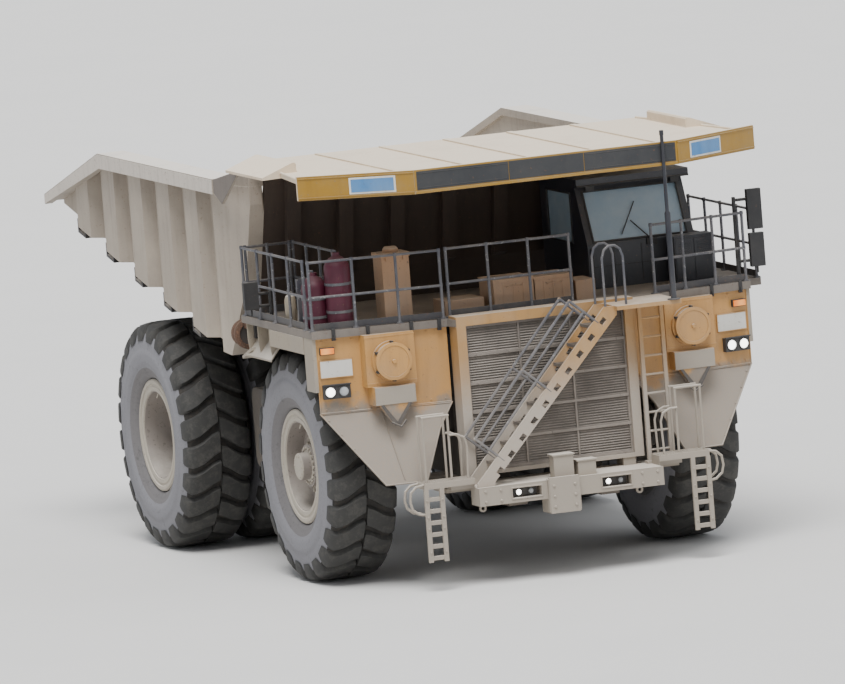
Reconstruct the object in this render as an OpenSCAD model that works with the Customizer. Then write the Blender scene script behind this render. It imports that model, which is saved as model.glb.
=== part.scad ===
// Mining dump truck, two axles, mechanical drive, at its real size in millimetres.
// +X points forward, +Y to the driver's left, +Z up.
// The origin is on the ground at the middle of the truck's box.

/* [Wheels and axles] */
// Distance between the axles
wheelbase = 5905; // [5600:5:6200]
// From the rear axle back to the body's tail
rear_overhang = 4600; // [4300:10:4800]
// From the front axle forward to the tow block's face
front_overhang = 3250; // [3200:10:3400]
// Tyre diameter at the lugs' tips
tyre_d = 3570; // [3500:5:3600]
// Tyre width at the sidewalls
tyre_w = 1120; // [1060:5:1140]
// Width of the flat tread
tread_w = 960; // [900:10:1000]
// Rim flange diameter
rim_d = 1752; // [1700:2:1800]
// Distance between the front tyres' centres
front_track = 5610; // [5560:10:5700]
// Distance between the middles of the rear pairs
rear_track = 4963; // [4940:1:5060]
// Distance between the two tyres of a rear pair
dual_pitch = 1270; // [1230:5:1290]
// From a front tyre's middle inwards to its kingpin
kingpin_offset = 855; // [840:5:880]
// Depth of the tread's grooves
lug_depth = 80; // [60:5:90]
// Lugs in each row of a tyre
lug_count = 24; // [20:1:26]
// Diameter of the front spindle
spindle_d = 400; // [360:5:440]
// Diameter of the rear axle tube where the hub turns
axle_tube_d = 620; // [580:5:660]

/* [Frame] */
// Outside width over the two frame rails
frame_w = 1800; // [1700:10:1840]
// Width of one rail
rail_w = 300; // [240:10:340]
// Height of the body pivot above the ground
pivot_z = 3000; // [2950:10:3050]
// Distance of the body pivot behind the rear axle
pivot_back = 1550; // [1500:10:1600]
// Diameter of the body pivot pin
pivot_pin_d = 220; // [180:5:240]
// Height of the bumper's lower edge
bumper_z = 1250; // [1200:10:1300]
// Height of the bumper beam
bumper_h = 280; // [240:10:320]
// Width of the bumper beam
bumper_w = 3000; // [2900:10:3100]

/* [Decks] */
// Height of the deck's walking face
deck_z = 4060; // [4030:10:4100]
// Thickness of the deck
deck_t = 110; // [80:5:140]
// Width over the decks
deck_w = 7160; // [7100:10:7240]
// Handrail height above the deck
handrail_h = 1080; // [1000:10:1150]
// Handrail tube diameter
handrail_d = 48; // [40:1:60]
// Width of the radiator's frame
radiator_w = 2880; // [2800:10:2940]
// Height of the radiator's frame above the bumper
radiator_h = 2570; // [2500:10:2580]

// How far the mirrors reach beyond the decks
mirror_reach = 320; // [300:5:400]

/* [Cab] */
// Width of the cab
cab_w = 1760; // [1720:10:1800]
// Length of the cab at its floor
cab_l = 1980; // [1900:10:2050]
// Height of the cab above the deck
cab_h = 1700; // [1640:10:1740]
// Thickness of the cab's walls
cab_wall = 60; // [50:5:80]

/* [Dump body] */
// Width over the body's ribs
body_w = 7000; // [6900:10:7060]
// Width over the top rails
body_rail_w = 7240; // [7200:10:7300]
// Height of the top rails
body_top_z = 6120; // [6050:10:6160]
// Depth of a side rib
rib_depth = 200; // [160:5:220]
// Thickness of the side walls
wall_t = 60; // [40:5:80]
// Thickness of the floor
floor_t = 60; // [40:5:80]
// Floor slope, rising towards the tail
floor_angle = 12; // [11:0.1:12.4]
// Width of the canopy at its widest
canopy_w = 7600; // [7500:10:7700]
// Height of the canopy's front edge
canopy_z = 6480; // [6440:10:6520]
// Height of the canopy's front band
band_h = 370; // [300:10:400]

/* [Hidden] */
$fn = 64;
run_fit = 0.05;
seat_gap = 0.3;
overall_l = rear_overhang + wheelbase + front_overhang;
rear_x = rear_overhang - overall_l / 2;
front_x = rear_x + wheelbase;
axle_z = tyre_d / 2;
tail_x = rear_x - rear_overhang;
bumper_x = front_x + front_overhang - 60;
pivot_x = rear_x - pivot_back;
kingpin_y = front_track / 2 - kingpin_offset;
overall_w = deck_w + 2 * mirror_reach;
bumper_top = bumper_z + bumper_h;
deck_under = deck_z - deck_t;
frame_y = frame_w / 2;
rail_in = frame_y - rail_w;

// Colours as the dusty truck shows them
ochre = "#c08a48";
dust = "#b3a898";
pale = "#cbbfae";
dark = "#3a3a3c";
black = "#1e1f22";
rubber = "#3c3a38";
steel = "#8d8880";
maroon = "#6e2136";
yellow = "#d8a826";
glassy = "#5d6b75";
rust = "#6b4632";
louvre_grey = "#8f8685";
shaded = "#4a3d33";

// Shared shapes

// Extrudes an outline drawn in X and Z across Y, from y0 to y1
module side_slab(y0, y1) {
    translate([0, y1, 0]) rotate([90, 0, 0]) linear_extrude(y1 - y0) children();
}

// Extrudes an outline drawn in Y and Z along X, from x0 to x1
module front_slab(x0, x1) {
    translate([x0, 0, 0]) rotate([90, 0, 90]) linear_extrude(x1 - x0) children();
}

// Repeats a shape on the other side of the truck
module both_sides() {
    children();
    mirror([0, 1, 0]) children();
}

// Block between two corners
module block(low, high) {
    translate(low) cube(high - low);
}

// Round or polygonal bar between two points
module bar(from, to, d, sides = 8) {
    v = to - from;
    flat = norm([v[0], v[1]]);
    translate(from)
        rotate([0, atan2(flat, v[2]), atan2(v[1], v[0])])
            cylinder(h = norm(v), d = d, $fn = sides);
}

// Round bar across the truck, from y0 to y1
module cross_bar(x, z, y0, y1, d) {
    translate([x, y1, z]) rotate([90, 0, 0]) cylinder(h = y1 - y0, d = d);
}

// Turned shape about a wheel's axis, drawn as radius and distance across
module turned(x, y, z) {
    translate([x, y, z]) rotate([-90, 0, 0]) rotate_extrude() children();
}

// Wheels

bead_d = 1448;
bead_w = 760;
belly_r = 1240;
shoulder_r = tyre_d / 2 - 75;

groove_r = tyre_d / 2 - lug_depth;
lug_l = 262;
lug_gap = 30;
lug_top = sqrt(pow(tyre_d / 2, 2) - pow(lug_l / 2, 2));
lug_turn = asin(lug_l / tyre_d);
lug_foot_r = groove_r - 60;
flank_r = belly_r + 260;

// Half section of a tyre at the bottom of its grooves
module tyre_section() {
    polygon([
        [bead_d / 2, -bead_w / 2 + seat_gap], [rim_d / 2 + 8, -bead_w / 2 + seat_gap],
        [rim_d / 2 + 24, -bead_w / 2 - 40],
        [belly_r - 150, -tyre_w / 2 + 25], [belly_r + 40, -tyre_w / 2],
        [shoulder_r - 120, -tyre_w / 2 + 25], [shoulder_r - 45, -tread_w / 2 + 10],
        [groove_r, -tread_w / 2 + 160], [groove_r, tread_w / 2 - 160],
        [shoulder_r - 45, tread_w / 2 - 10], [shoulder_r - 120, tyre_w / 2 - 25],
        [belly_r + 40, tyre_w / 2], [belly_r - 150, tyre_w / 2 - 25],
        [rim_d / 2 + 24, bead_w / 2 + 40], [rim_d / 2 + 8, bead_w / 2 - seat_gap],
        [bead_d / 2, bead_w / 2 - seat_gap]
    ]);
}

// One lug from the tread's middle out over the shoulder, drawn as radius and distance across
module lug() {
    rotate([0, -90, 0])
        linear_extrude(lug_l, center = true)
            polygon([
                [flank_r, tyre_w / 2 - 12], [shoulder_r - 20, tread_w / 2 + 22],
                [lug_top, tread_w / 2 - 60], [lug_top, lug_gap],
                [lug_foot_r, lug_gap], [flank_r - 20, tyre_w / 2 - 160]
            ]);
}

// Tyre with two staggered rows of lugs
module tyre(x, y) {
    color(rubber)
    translate([x, y, axle_z]) {
        rotate([-90, 0, 0]) rotate_extrude() tyre_section();
        for (k = [0:lug_count - 1], row = [0, 1])
            rotate([0, lug_turn + (k + row / 2) * 360 / lug_count, 0])
                mirror([0, row, 0]) lug();
    }
}

rim_t = 45;
flange_t = 40;
rim_bore_r = bead_d / 2 - rim_t;
disc_t = 70;
hub_r = 330;

// Rim barrel with its two flanges, about the wheel's middle
module rim_barrel() {
    difference() {
        union() {
            translate([0, -bead_w / 2 - flange_t]) square([rim_d / 2, flange_t]);
            translate([0, bead_w / 2]) square([rim_d / 2, flange_t]);
            translate([0, -bead_w / 2]) square([bead_d / 2 - seat_gap, bead_w]);
        }
        translate([-1, -bead_w / 2 - flange_t - 1])
            square([rim_bore_r + 1, bead_w + 2 * flange_t + 2]);
    }
}

front_disc_y = -60;
hub_len = 620;
hub_cap_r = 210;
hub_cap_len = 150;

// Front rim: barrel, dished disc, hub with its bore, and the hub's cap
module front_rim(side) {
    y = side * front_track / 2;
    color(dust)
    translate([front_x, y, axle_z])
        scale([1, side, 1])
            rotate([-90, 0, 0])
                rotate_extrude() {
                    rim_barrel();
                    polygon([
                        [hub_r - 1, front_disc_y - disc_t / 2],
                        [rim_bore_r + 1, front_disc_y + 130],
                        [rim_bore_r + 1, front_disc_y + 130 + disc_t],
                        [hub_r - 1, front_disc_y + disc_t / 2 + 60]
                    ]);
                    translate([spindle_d / 2 + run_fit, -hub_len / 2])
                        square([hub_r - spindle_d / 2 - run_fit, hub_len]);
                    translate([0, hub_len / 2 - 40]) square([hub_r, 40]);
                    translate([0, hub_len / 2 - 1]) square([hub_cap_r, hub_cap_len]);
                }
}

final_drive_r = 480;
final_drive_len = 430;

// Rear rims of one side with the final drive drum that joins them
module rear_rims(side) {
    inner = -dual_pitch / 2;
    outer = dual_pitch / 2;
    color(dust)
    translate([rear_x, side * rear_track / 2, axle_z])
        scale([1, side, 1])
            rotate([-90, 0, 0])
                rotate_extrude() {
                    translate([0, inner]) rim_barrel();
                    translate([0, outer]) rim_barrel();
                    translate([rim_bore_r - 60, inner]) square([61, dual_pitch]);
                    translate([axle_tube_d / 2 + run_fit, inner - bead_w / 2])
                        square([final_drive_r - axle_tube_d / 2, dual_pitch]);
                    translate([0, outer - bead_w / 2 - 40])
                        square([final_drive_r, final_drive_len]);
                    translate([final_drive_r - 1, outer - bead_w / 2 - 40])
                        square([rim_bore_r - final_drive_r + 2, disc_t]);
                    translate([0, outer - bead_w / 2 + final_drive_len - 41])
                        square([final_drive_r - 150, 90]);
                }
}

module rear_tyres(side) {
    tyre(rear_x, side * (rear_track - dual_pitch) / 2);
    tyre(rear_x, side * (rear_track + dual_pitch) / 2);
}

// Frame and running gear

rail_top_rear = 3150;
rail_top_front = 2750;
mid_rail_top = 2080;
mid_rail_z = 1430;
nose_top = 1470;
nose_z = 1160;
arch_z = 2480;
step_x = front_x - 1750;
beam_gap = 20;

// Side outline of a frame rail with its round end at the pivot
module rail_outline() {
    polygon([
        [pivot_x, pivot_z + 230], [pivot_x + 550, rail_top_rear],
        [step_x, rail_top_front], [step_x + 250, mid_rail_top],
        [front_x + 1800, mid_rail_top], [front_x + 2150, nose_top - seat_gap],
        [bumper_x - bumper_d - seat_gap, nose_top - seat_gap],
        [bumper_x - bumper_d - seat_gap, nose_z],
        [front_x + 2050, nose_z], [front_x + 1750, mid_rail_z],
        [rear_x + 3200, mid_rail_z], [rear_x + 1700, 1750],
        [rear_x + 850, arch_z], [pivot_x, arch_z + 40]
    ]);
    translate([pivot_x, pivot_z]) circle(r = 320);
}

collar_l = 700;
collar_y = kingpin_y - 310;
collar_z = 2060;
collar_h = 780;
post_l = 260;
hoist_x = rear_x + 2300;
hoist_z = 1350;
hoist_y = 1130;
hoist_pin_d = 130;

post_xs = [front_x - 1150, front_x + 1150];
post_foot_z = 1900;
post_arm_h = 240;
tube_d = 300;
lug_r = 160;
pin_reach = 190;
joint_x0 = rear_x + 1150;
joint_x1 = rear_x + 1420;
joint_y = 260;
cross_tubes = [[pivot_x + 40, 2960], [rear_x + 1500, 2650], [rear_x + 2900, 2050],
               [front_x + 2350, 1310]];

// Frame: two rails, cross tubes, front collar, deck posts and pins
module main_frame() {
    color(dark) {
        both_sides() side_slab(rail_in, frame_y) rail_outline();
        // Front collar that carries the suspension cylinders
        block([front_x - collar_l / 2, -collar_y, collar_z],
              [front_x + collar_l / 2, collar_y, collar_z + collar_h]);
        for (p = cross_tubes)
            cross_bar(p[0], p[1], -rail_in - 5, rail_in + 5, tube_d);
        // Posts that carry the decks, with an arm on top of each
        both_sides()
            for (x = post_xs) {
                block([x - post_l / 2, frame_y - 60, post_foot_z],
                      [x + post_l / 2, frame_y + 160, deck_under - seat_gap]);
                block([x - post_l / 2, frame_y, deck_under - post_arm_h],
                      [x + post_l / 2, deck_w / 2 - 120, deck_under - seat_gap]);
            }
        // Lugs of the hoist pins, hung below the rails
        both_sides()
            side_slab(rail_in, frame_y + 60)
                hull() {
                    translate([hoist_x, hoist_z]) circle(r = lug_r, $fn = 32);
                    translate([hoist_x + 250, mid_rail_z + 270]) circle(r = lug_r, $fn = 32);
                }
        // Bracket that drops to the centre joint of the rear axle
        block([joint_x0, -joint_y, axle_z - 285], [joint_x1, joint_y, arch_z + 120]);
        both_sides() {
            cross_bar(pivot_x, pivot_z, frame_y - 5, frame_y + pin_reach, pivot_pin_d);
            cross_bar(hoist_x, hoist_z, frame_y + 55, hoist_y + 160, hoist_pin_d);
        }
    }
}

cyl_d = 2 * (kingpin_offset - tyre_w / 2 - 65);
cyl_rod_d = 340;
cyl_foot_z = 2130;
cyl_bore_h = 1001;
cyl_arm_x = 260;
cyl_arm_z = [cyl_foot_z + 120, cyl_foot_z + 640];
cyl_top_z = 3560;
knuckle_top_z = 2080;

// Front suspension cylinders, bored for the knuckles' rods
module front_suspension() {
    color(ochre)
    both_sides()
        difference() {
            union() {
                translate([front_x, kingpin_y, cyl_foot_z])
                    cylinder(h = cyl_top_z - cyl_foot_z, d = cyl_d);
                block([front_x - cyl_arm_x, collar_y + seat_gap, cyl_arm_z[0]],
                      [front_x + cyl_arm_x, kingpin_y, cyl_arm_z[1]]);
            }
            translate([front_x, kingpin_y, cyl_foot_z - 1])
                cylinder(h = cyl_bore_h, d = cyl_rod_d + 2 * run_fit);
        }
}

arm_len = 620;
king_foot_z = 1400;
king_rod_h = 700;
arm_t = 90;
arm_eye_d = 200;
tie_drop = 140;
arm_y = kingpin_y;
arm_z = 1450;
tie_d = 120;
tie_eye_d = 90;

// Steering knuckle: rod in the cylinder, king post, spindle and steering arm
module knuckle(side) {
    color(steel)
    scale([1, side, 1])
        difference() {
            union() {
                translate([front_x, kingpin_y, king_foot_z])
                    cylinder(h = knuckle_top_z - king_foot_z, d = cyl_d - 20);
                translate([front_x, kingpin_y, knuckle_top_z - 1])
                    cylinder(h = king_rod_h, d = cyl_rod_d);
                cross_bar(front_x, axle_z, kingpin_y, front_track / 2 + hub_len / 2 - 45,
                          spindle_d);
                // Steering arm reaching back and inwards to the tie rod's eye
                translate([0, 0, arm_z - arm_t / 2])
                    linear_extrude(arm_t)
                        hull() {
                            translate([front_x, kingpin_y]) circle(d = cyl_d - 80);
                            translate([front_x - arm_len, arm_y]) circle(d = arm_eye_d);
                        }
            }
            translate([front_x - arm_len, arm_y, arm_z - 100])
                cylinder(h = 200, d = tie_eye_d + 2 * run_fit);
        }
}

// Tie rod with a pin at each end that turns in the steering arms
module tie_rod() {
    color(steel) {
        bar([front_x - arm_len, -arm_y, arm_z - tie_drop],
            [front_x - arm_len, arm_y, arm_z - tie_drop], tie_d, 32);
        both_sides() {
            translate([front_x - arm_len, arm_y, arm_z - arm_t / 2 - 5 - 170])
                cylinder(h = 170, d = 190);
            translate([front_x - arm_len, arm_y, arm_z - 60])
                cylinder(h = 120, d = tie_eye_d);
        }
    }
}

banjo_r = 560;
tube_r = 410;
case_y = [300, 620];
arm_w0 = 420;
arm_w1 = 150;
arm_root_x = rear_x + 100;
seat_h = 120;
arm_front = joint_x0 - rear_x - seat_gap;
axle_in = rear_track / 2 - dual_pitch / 2 - bead_w / 2;
rear_cyl_x = rear_x - 640;
rear_cyl_y = 400;

// Half section of the housing: tube, swelling case and spindle end
module housing_section() {
    tube_end = axle_in - 20;
    spindle_end = axle_in + dual_pitch - 60;
    polygon([
        [0, -spindle_end], [axle_tube_d / 2, -spindle_end], [axle_tube_d / 2, -tube_end],
        [tube_r, -tube_end], [tube_r, -case_y[1]], [banjo_r, -case_y[0]],
        [banjo_r, case_y[0]], [tube_r, case_y[1]],
        [tube_r, tube_end], [axle_tube_d / 2, tube_end], [axle_tube_d / 2, spindle_end],
        [0, spindle_end]
    ]);
}

// Rear axle housing: turned case and tubes, with the arm that runs forward
module rear_axle_housing() {
    color(dark) {
        turned(rear_x, 0, axle_z) housing_section();
        intersection() {
            side_slab(-arm_w0, arm_w0)
                polygon([
                    [arm_root_x, axle_z - 300], [rear_x + arm_front, axle_z - 160],
                    [rear_x + arm_front, axle_z + 160], [arm_root_x, axle_z + 300]
                ]);
            translate([0, 0, axle_z - tube_r]) linear_extrude(2 * tube_r)
                polygon([
                    [arm_root_x, -arm_w0], [rear_x + arm_front, -arm_w1],
                    [rear_x + arm_front, arm_w1], [arm_root_x, arm_w0]
                ]);
        }
        // Seats of the rear suspension cylinders
        both_sides()
            block([rear_cyl_x - 140, rear_cyl_y - 120, axle_z - seat_h],
                  [rear_x - 300, rear_cyl_y + 120, axle_z + seat_h]);
    }
}

rear_rod_h = 500;
rear_barrel_h = 520;

// Rear suspension cylinders between the axle and the frame's rear end
module rear_suspension() {
    color(ochre)
    both_sides()
        translate([rear_cyl_x, rear_cyl_y, axle_z + seat_h + seat_gap]) {
            cylinder(h = rear_rod_h, d = 240);
            translate([0, 0, rear_rod_h - 20]) cylinder(h = rear_barrel_h, d = 330);
            translate([-120, -100, 900]) cube([240, rail_in - seat_gap - rear_cyl_y + 100, 150]);
        }
}

// Tanks and mufflers

tank_y0 = 1420;
tank_y1 = 2640;
tank_ends = [2030, 3480];
tank_x0 = rear_x + tank_ends[0];
tank_x1 = rear_x + tank_ends[1];
tank_z0 = 1380;
tank_z1 = 2620;
tank_r = 160;
tank_corners = [[tank_x0 + tank_r, tank_z0 + tank_r], [tank_x1 - tank_r, tank_z0 + tank_r],
                [tank_x0 + tank_r, tank_z1 - tank_r], [tank_x1 - tank_r, tank_z1 - tank_r]];
tank_hangers = [tank_x0 + 770, tank_x1 - 230];
hanger_t = 120;
hanger_drop = [780, 560];

// Rounded tank with the two brackets that hang it on a rail
module side_tank() {
    side_slab(tank_y0, tank_y1)
        hull() {
            for (p = tank_corners)
                translate(p) circle(r = tank_r, $fn = 32);
        }
    for (x = tank_hangers)
        block([x, frame_y + seat_gap, tank_z1 - hanger_drop[0]],
              [x + hanger_t, tank_y0 + 2, tank_z1 - hanger_drop[1]]);
}

// Fuel tank on the right and oil tank on the left
module side_tanks() {
    color(ochre) both_sides() side_tank();
}

muffler_ends = [1900, 1620];
muffler_x0 = front_x - muffler_ends[0];
muffler_x1 = post_xs[0] - post_l / 2 - seat_gap;
muffler_face = front_x - muffler_ends[1];
muffler_y = 3350;
muffler_z = 3720;
muffler_d = 420;

// Muffler behind the right deck, with a round outlet that faces forward
module mufflers() {
    color(rust)
    mirror([0, 1, 0]) {
        translate([muffler_x0, muffler_y, muffler_z]) rotate([0, 90, 0])
            cylinder(h = muffler_face - muffler_x0, d = muffler_d);
        translate([muffler_face - 60, muffler_y, muffler_z]) rotate([0, 90, 0])
            cylinder(h = 60, d = muffler_d + 60);
        block([muffler_face - 200, muffler_y - 90, muffler_z + 100],
              [muffler_x1, muffler_y + 90, deck_under - 60]);
    }
}

// Front end

radiator_ahead = 2560;
radiator_x = front_x + radiator_ahead;
radiator_d = 330;
frame_bar = 150;
radiator_top = bumper_top + radiator_h;

// Square frame round the radiator with its side cheeks
module radiator_frame() {
    color(ochre)
    difference() {
        block([radiator_x - radiator_d, -radiator_w / 2, bumper_top + 120],
              [radiator_x, radiator_w / 2, radiator_top]);
        block([radiator_x - radiator_d - 1, -radiator_w / 2 + frame_bar, bumper_top + 120 + 60],
              [radiator_x + 1, radiator_w / 2 - frame_bar, radiator_top - frame_bar]);
    }
}

grille_rows = 5;
grille_bar = 44;
blade_count = 6;
blade_t = 10;
blade_rise = 34;
blade_reach = 58;
core_t = 90;
core_y = radiator_w / 2 - frame_bar - seat_gap;
core_z0 = bumper_top + 180 + seat_gap;
core_z1 = radiator_top - frame_bar - seat_gap;

core_x = radiator_x - 220;

// Slanted louvre blade that grows out of the core at a height
module blade(z) {
    side_slab(-core_y, core_y)
        polygon([[core_x + core_t - 2, z + blade_rise], [core_x + core_t + blade_reach, z],
                 [core_x + core_t + blade_reach, z + blade_t],
                 [core_x + core_t - 2, z + blade_rise + blade_t]]);
}

// Radiator core behind a grille of cross bars and louvre blades
module radiator_grille() {
    row_h = (core_z1 - core_z0 - grille_bar) / grille_rows;
    blade_h = (row_h - grille_bar) / blade_count;
    color(louvre_grey) {
        block([core_x, -core_y, core_z0], [core_x + core_t, core_y, core_z1]);
        for (i = [0:grille_rows])
            translate([0, 0, core_z0 + i * row_h])
                block([core_x + core_t - 5, -core_y, 0], [core_x + core_t + 70, core_y, grille_bar]);
        for (i = [0:grille_rows - 1], k = [0:blade_count - 1])
            blade(core_z0 + i * row_h + grille_bar + (k + 0.2) * blade_h);
    }
}

stair_foot_y = -1330;
stair_head_y = 830;
stair_foot_z = bumper_top + 60;
stair_head_z = deck_z;
stair_x0 = radiator_x + 60;
stair_x1 = bumper_x - 90;
stringer_t = 40;
tread_count = 8;
landing_y0 = stair_head_y + 100;
landing_y1 = stair_head_y + 1150;
landing_x1 = bumper_x + 45;
landing_t = 60;

// Outline of a stringer in Y and Z
module stringer_outline() {
    polygon([
        [stair_foot_y - 150, stair_foot_z], [stair_foot_y + 130, stair_foot_z],
        [stair_head_y + 140, stair_head_z - 135], [stair_head_y + 140, stair_head_z],
        [stair_head_y - 60, stair_head_z]
    ]);
}

slot_count = 10;
slot_l = 110;
slot_h = 85;
stair_l = norm([stair_head_y - stair_foot_y, stair_head_z - stair_foot_z]);
stair_angle = atan2(stair_head_z - stair_foot_z, stair_head_y - stair_foot_y);
stair_rail_h = 620;

// Places a shape on the middle line of the stringers, turned along them
module on_stringer(along, up) {
    translate([0, stair_foot_y + 60, stair_foot_z])
        rotate([stair_angle, 0, 0])
            translate([0, along, up]) children();
}

// Handrail of the stairway in one plane: two posts, a top tube and a knee tube
module stair_rail(x) {
    low = 0.12 * stair_l;
    high = 0.9 * stair_l;
    on_stringer(0, 0) {
        for (a = [low, (low + high) / 2, high])
            bar([x, a, 20], [x, a, stair_rail_h], 40);
        for (h = [stair_rail_h / 2, stair_rail_h - 20])
            bar([x, low - 20, h], [x, high + 20, h], 38);
    }
}

ladder_y0 = 1500;
ladder_y1 = 1860;
ladder_x = radiator_x + 60;

// Diagonal stairway across the radiator, its landing and the upright ladder
module stairway() {
    color(ochre) {
        for (x = [stair_x0, stair_x1 - stringer_t]) {
            difference() {
                front_slab(x, x + stringer_t) stringer_outline();
                for (i = [0:slot_count - 1])
                    on_stringer((i + 0.75) * stair_l / (slot_count + 0.6), -20)
                        translate([x - 1, -slot_l / 2, -slot_h / 2])
                            cube([stringer_t + 2, slot_l, slot_h]);
            }
            block([x, stair_foot_y - 150, bumper_top + seat_gap],
                  [x + stringer_t, stair_foot_y + 130, stair_foot_z + 1]);
        }
        for (i = [1:tread_count]) {
            t = i / (tread_count + 1);
            y = stair_foot_y + t * (stair_head_y - stair_foot_y);
            z = stair_foot_z + t * (stair_head_z - stair_foot_z);
            block([stair_x0 + stringer_t - 1, y - 60, z - 40], [stair_x1 - stringer_t + 1, y + 150, z]);
        }
        for (x = [stair_x0 + stringer_t / 2, stair_x1 - stringer_t / 2])
            stair_rail(x);
        // Landing that reaches the left deck's front edge
        translate([0, 0, deck_z - landing_t])
            linear_extrude(landing_t)
                polygon([
                    [radiator_x + 5, landing_y0], [landing_x1, landing_y0],
                    [landing_x1, landing_y1], [deck_edge_x(landing_y1) + 6, landing_y1],
                    [deck_edge_x(hood_y + 60) + 6, hood_y + 66], [radiator_x + 5, hood_y + 4]
                ]);
        for (y = [ladder_y0, ladder_y1])
            block([ladder_x - 30, y - 30, bumper_top + 39],
                  [ladder_x + 30, y + 30, deck_z - landing_t + 1]);
        for (z = [bumper_top + 200 : 290 : deck_z - 200])
            bar([ladder_x, ladder_y0, z], [ladder_x, ladder_y1, z], 36);
        block([ladder_x - 60, ladder_y0 - 60, bumper_top + seat_gap],
              [ladder_x + 60, ladder_y1 + 60, bumper_top + 40]);
    }
}

lamp_hole_w = 470;
lamp_hole_h = 150;
lamp_hole_y = 730;
bumper_d = 380;

// Blocks on the bumper, each with its two ends across and its height
bumper_blocks = [[-230, 90, 340], [160, 450, 220]];
eye_ys = [-1420, 1130];
eye_d = 110;

tow_y = -140;
tow_w = 480;
tow_bore_d = 90;

// Bumper: beam with two lamp pockets, shelf, and the tow block with its pin hole
module front_bumper() {
    color(dust) {
        difference() {
            block([bumper_x - bumper_d, -bumper_w / 2, bumper_z], [bumper_x, bumper_w / 2, bumper_top]);
            for (y = [-lamp_hole_y, lamp_hole_y])
                block([bumper_x - 180, y - lamp_hole_w / 2, bumper_z + 70],
                      [bumper_x + 1, y + lamp_hole_w / 2, bumper_z + 70 + lamp_hole_h]);
        }
        for (b = bumper_blocks)
            block([bumper_x - 300, b[0], bumper_top - 1], [bumper_x - 100, b[1], bumper_top + b[2]]);
        // Tie-down eyes below the beam
        for (y = eye_ys)
            front_slab(bumper_x - 140, bumper_x - 104)
                translate([y, bumper_z - eye_d / 2 + 12]) difference() {
                    circle(d = eye_d);
                    circle(d = eye_d / 2);
                }
        // Shelf that carries the radiator and the ladder
        block([radiator_x - radiator_d, -bumper_w / 2 - 400, bumper_top - 60],
              [bumper_x - bumper_d + 1, bumper_w / 2 + 400, bumper_top]);
        both_sides()
            block([radiator_x - radiator_d + 10, 1100, bumper_top - 1],
                  [radiator_x - 20, 1300, bumper_top + 120 - seat_gap]);
        difference() {
            union() {
                block([bumper_x - 1, tow_y - tow_w / 2, bumper_z - 230],
                      [bumper_x + 60, tow_y + tow_w / 2, bumper_top + 40]);
                block([bumper_x - 330, tow_y - tow_w / 2, bumper_z - 230],
                      [bumper_x, tow_y + tow_w / 2, bumper_z + 1]);
            }
            translate([bumper_x - 120, tow_y, bumper_z - 231]) cylinder(h = 201, d = tow_bore_d);
        }
    }
}

platform_x = bumper_x - 150;
platform_d = 340;
platform_y0 = bumper_w / 2 + seat_gap;
platform_y1 = 2320;
platform_z0 = bumper_top + 60;
platform_z1 = bumper_top + 150;
loop_h = 1000;
hang_z = 470;
hang_y = 2170;
hang_w = 250;
hang_stile = 70;
hang_pitch = 180;
rung_h = 60;

// Step platforms outboard of the bumper, with grab loops and hanging ladders
module step_platforms() {
    color(dust)
    both_sides() {
        block([platform_x - platform_d, platform_y0, platform_z0], [platform_x, platform_y1, platform_z1]);
        block([platform_x - platform_d, platform_y0, bumper_top + seat_gap],
              [platform_x - 40, platform_y0 + 380, platform_z0 + 1]);
        for (x = [platform_x - 60, platform_x - platform_d + 60]) {
            for (y = [platform_y0 + 350, platform_y1 - 60])
                bar([x, y, platform_z1 - 10], [x, y, platform_z1 + loop_h], 40);
            bar([x, platform_y0 + 330, platform_z1 + loop_h],
                [x, platform_y1 - 40, platform_z1 + loop_h], 40);
        }
        for (y = [hang_y - hang_w / 2, hang_y + hang_w / 2])
            block([platform_x - 40, y - hang_stile / 2, hang_z],
                  [platform_x, y + hang_stile / 2, platform_z0 + 1]);
        for (z = [hang_z + 30 : hang_pitch : platform_z0 - 100])
            block([platform_x - 90, hang_y - hang_w / 2, z],
                  [platform_x - 10, hang_y + hang_w / 2, z + rung_h]);
    }
}

engine_x = front_x + 370;
engine_l = 1750;
engine_z0 = 1900;
engine_z1 = 3350;

// Engine as one plain block at its real place
module engine_block() {
    color(dark)
    block([engine_x, -rail_in + seat_gap, engine_z0],
          [engine_x + engine_l, rail_in - seat_gap, engine_z1]);
}

// Decks

deck_front_in = radiator_x;
deck_front_out = front_x + 2000;
deck_rear = front_x - 1280;
hood_y = radiator_w / 2;
fascia_x0 = deck_front_in - 260;
fascia_y0 = hood_y + 60;

walkway_x = front_x + 1700;
walkway_y = overall_w / 2 - 30;

// Distance of the deck's swept front edge ahead at a given place across
function deck_edge_x(y) = fascia_x0 - (y - fascia_y0) * tan(fascia_sweep);

// Plan of the decks: swept front edges, bay over the radiator, left walkway
module deck_plan() {
    polygon([
        [deck_front_in, -hood_y], [deck_front_in, hood_y],
        [fascia_x0, fascia_y0], [deck_front_out, deck_w / 2],
        [walkway_x, deck_w / 2], [walkway_x, walkway_y], [deck_rear, walkway_y],
        [deck_rear, -deck_w / 2],
        [deck_front_out, -deck_w / 2], [fascia_x0, -fascia_y0]
    ]);
}

// Deck plates with a well above the engine
module decks() {
    color(steel)
    difference() {
        translate([0, 0, deck_under]) linear_extrude(deck_t) deck_plan();
        block([radiator_x - radiator_d - 40, -radiator_w / 2 - seat_gap, deck_under - 1],
              [deck_front_in + 1, radiator_w / 2 + seat_gap, radiator_top + seat_gap]);
    }
}

// Fenders

fascia_t = 40;
fascia_sweep = atan2(fascia_x0 - deck_front_out, deck_w / 2 - fascia_y0);
fascia_len = (deck_w / 2 - fascia_y0) / cos(fascia_sweep);
knee_z = 2780;
skirt_lean = 21;
skirt_len = 1200;
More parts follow.
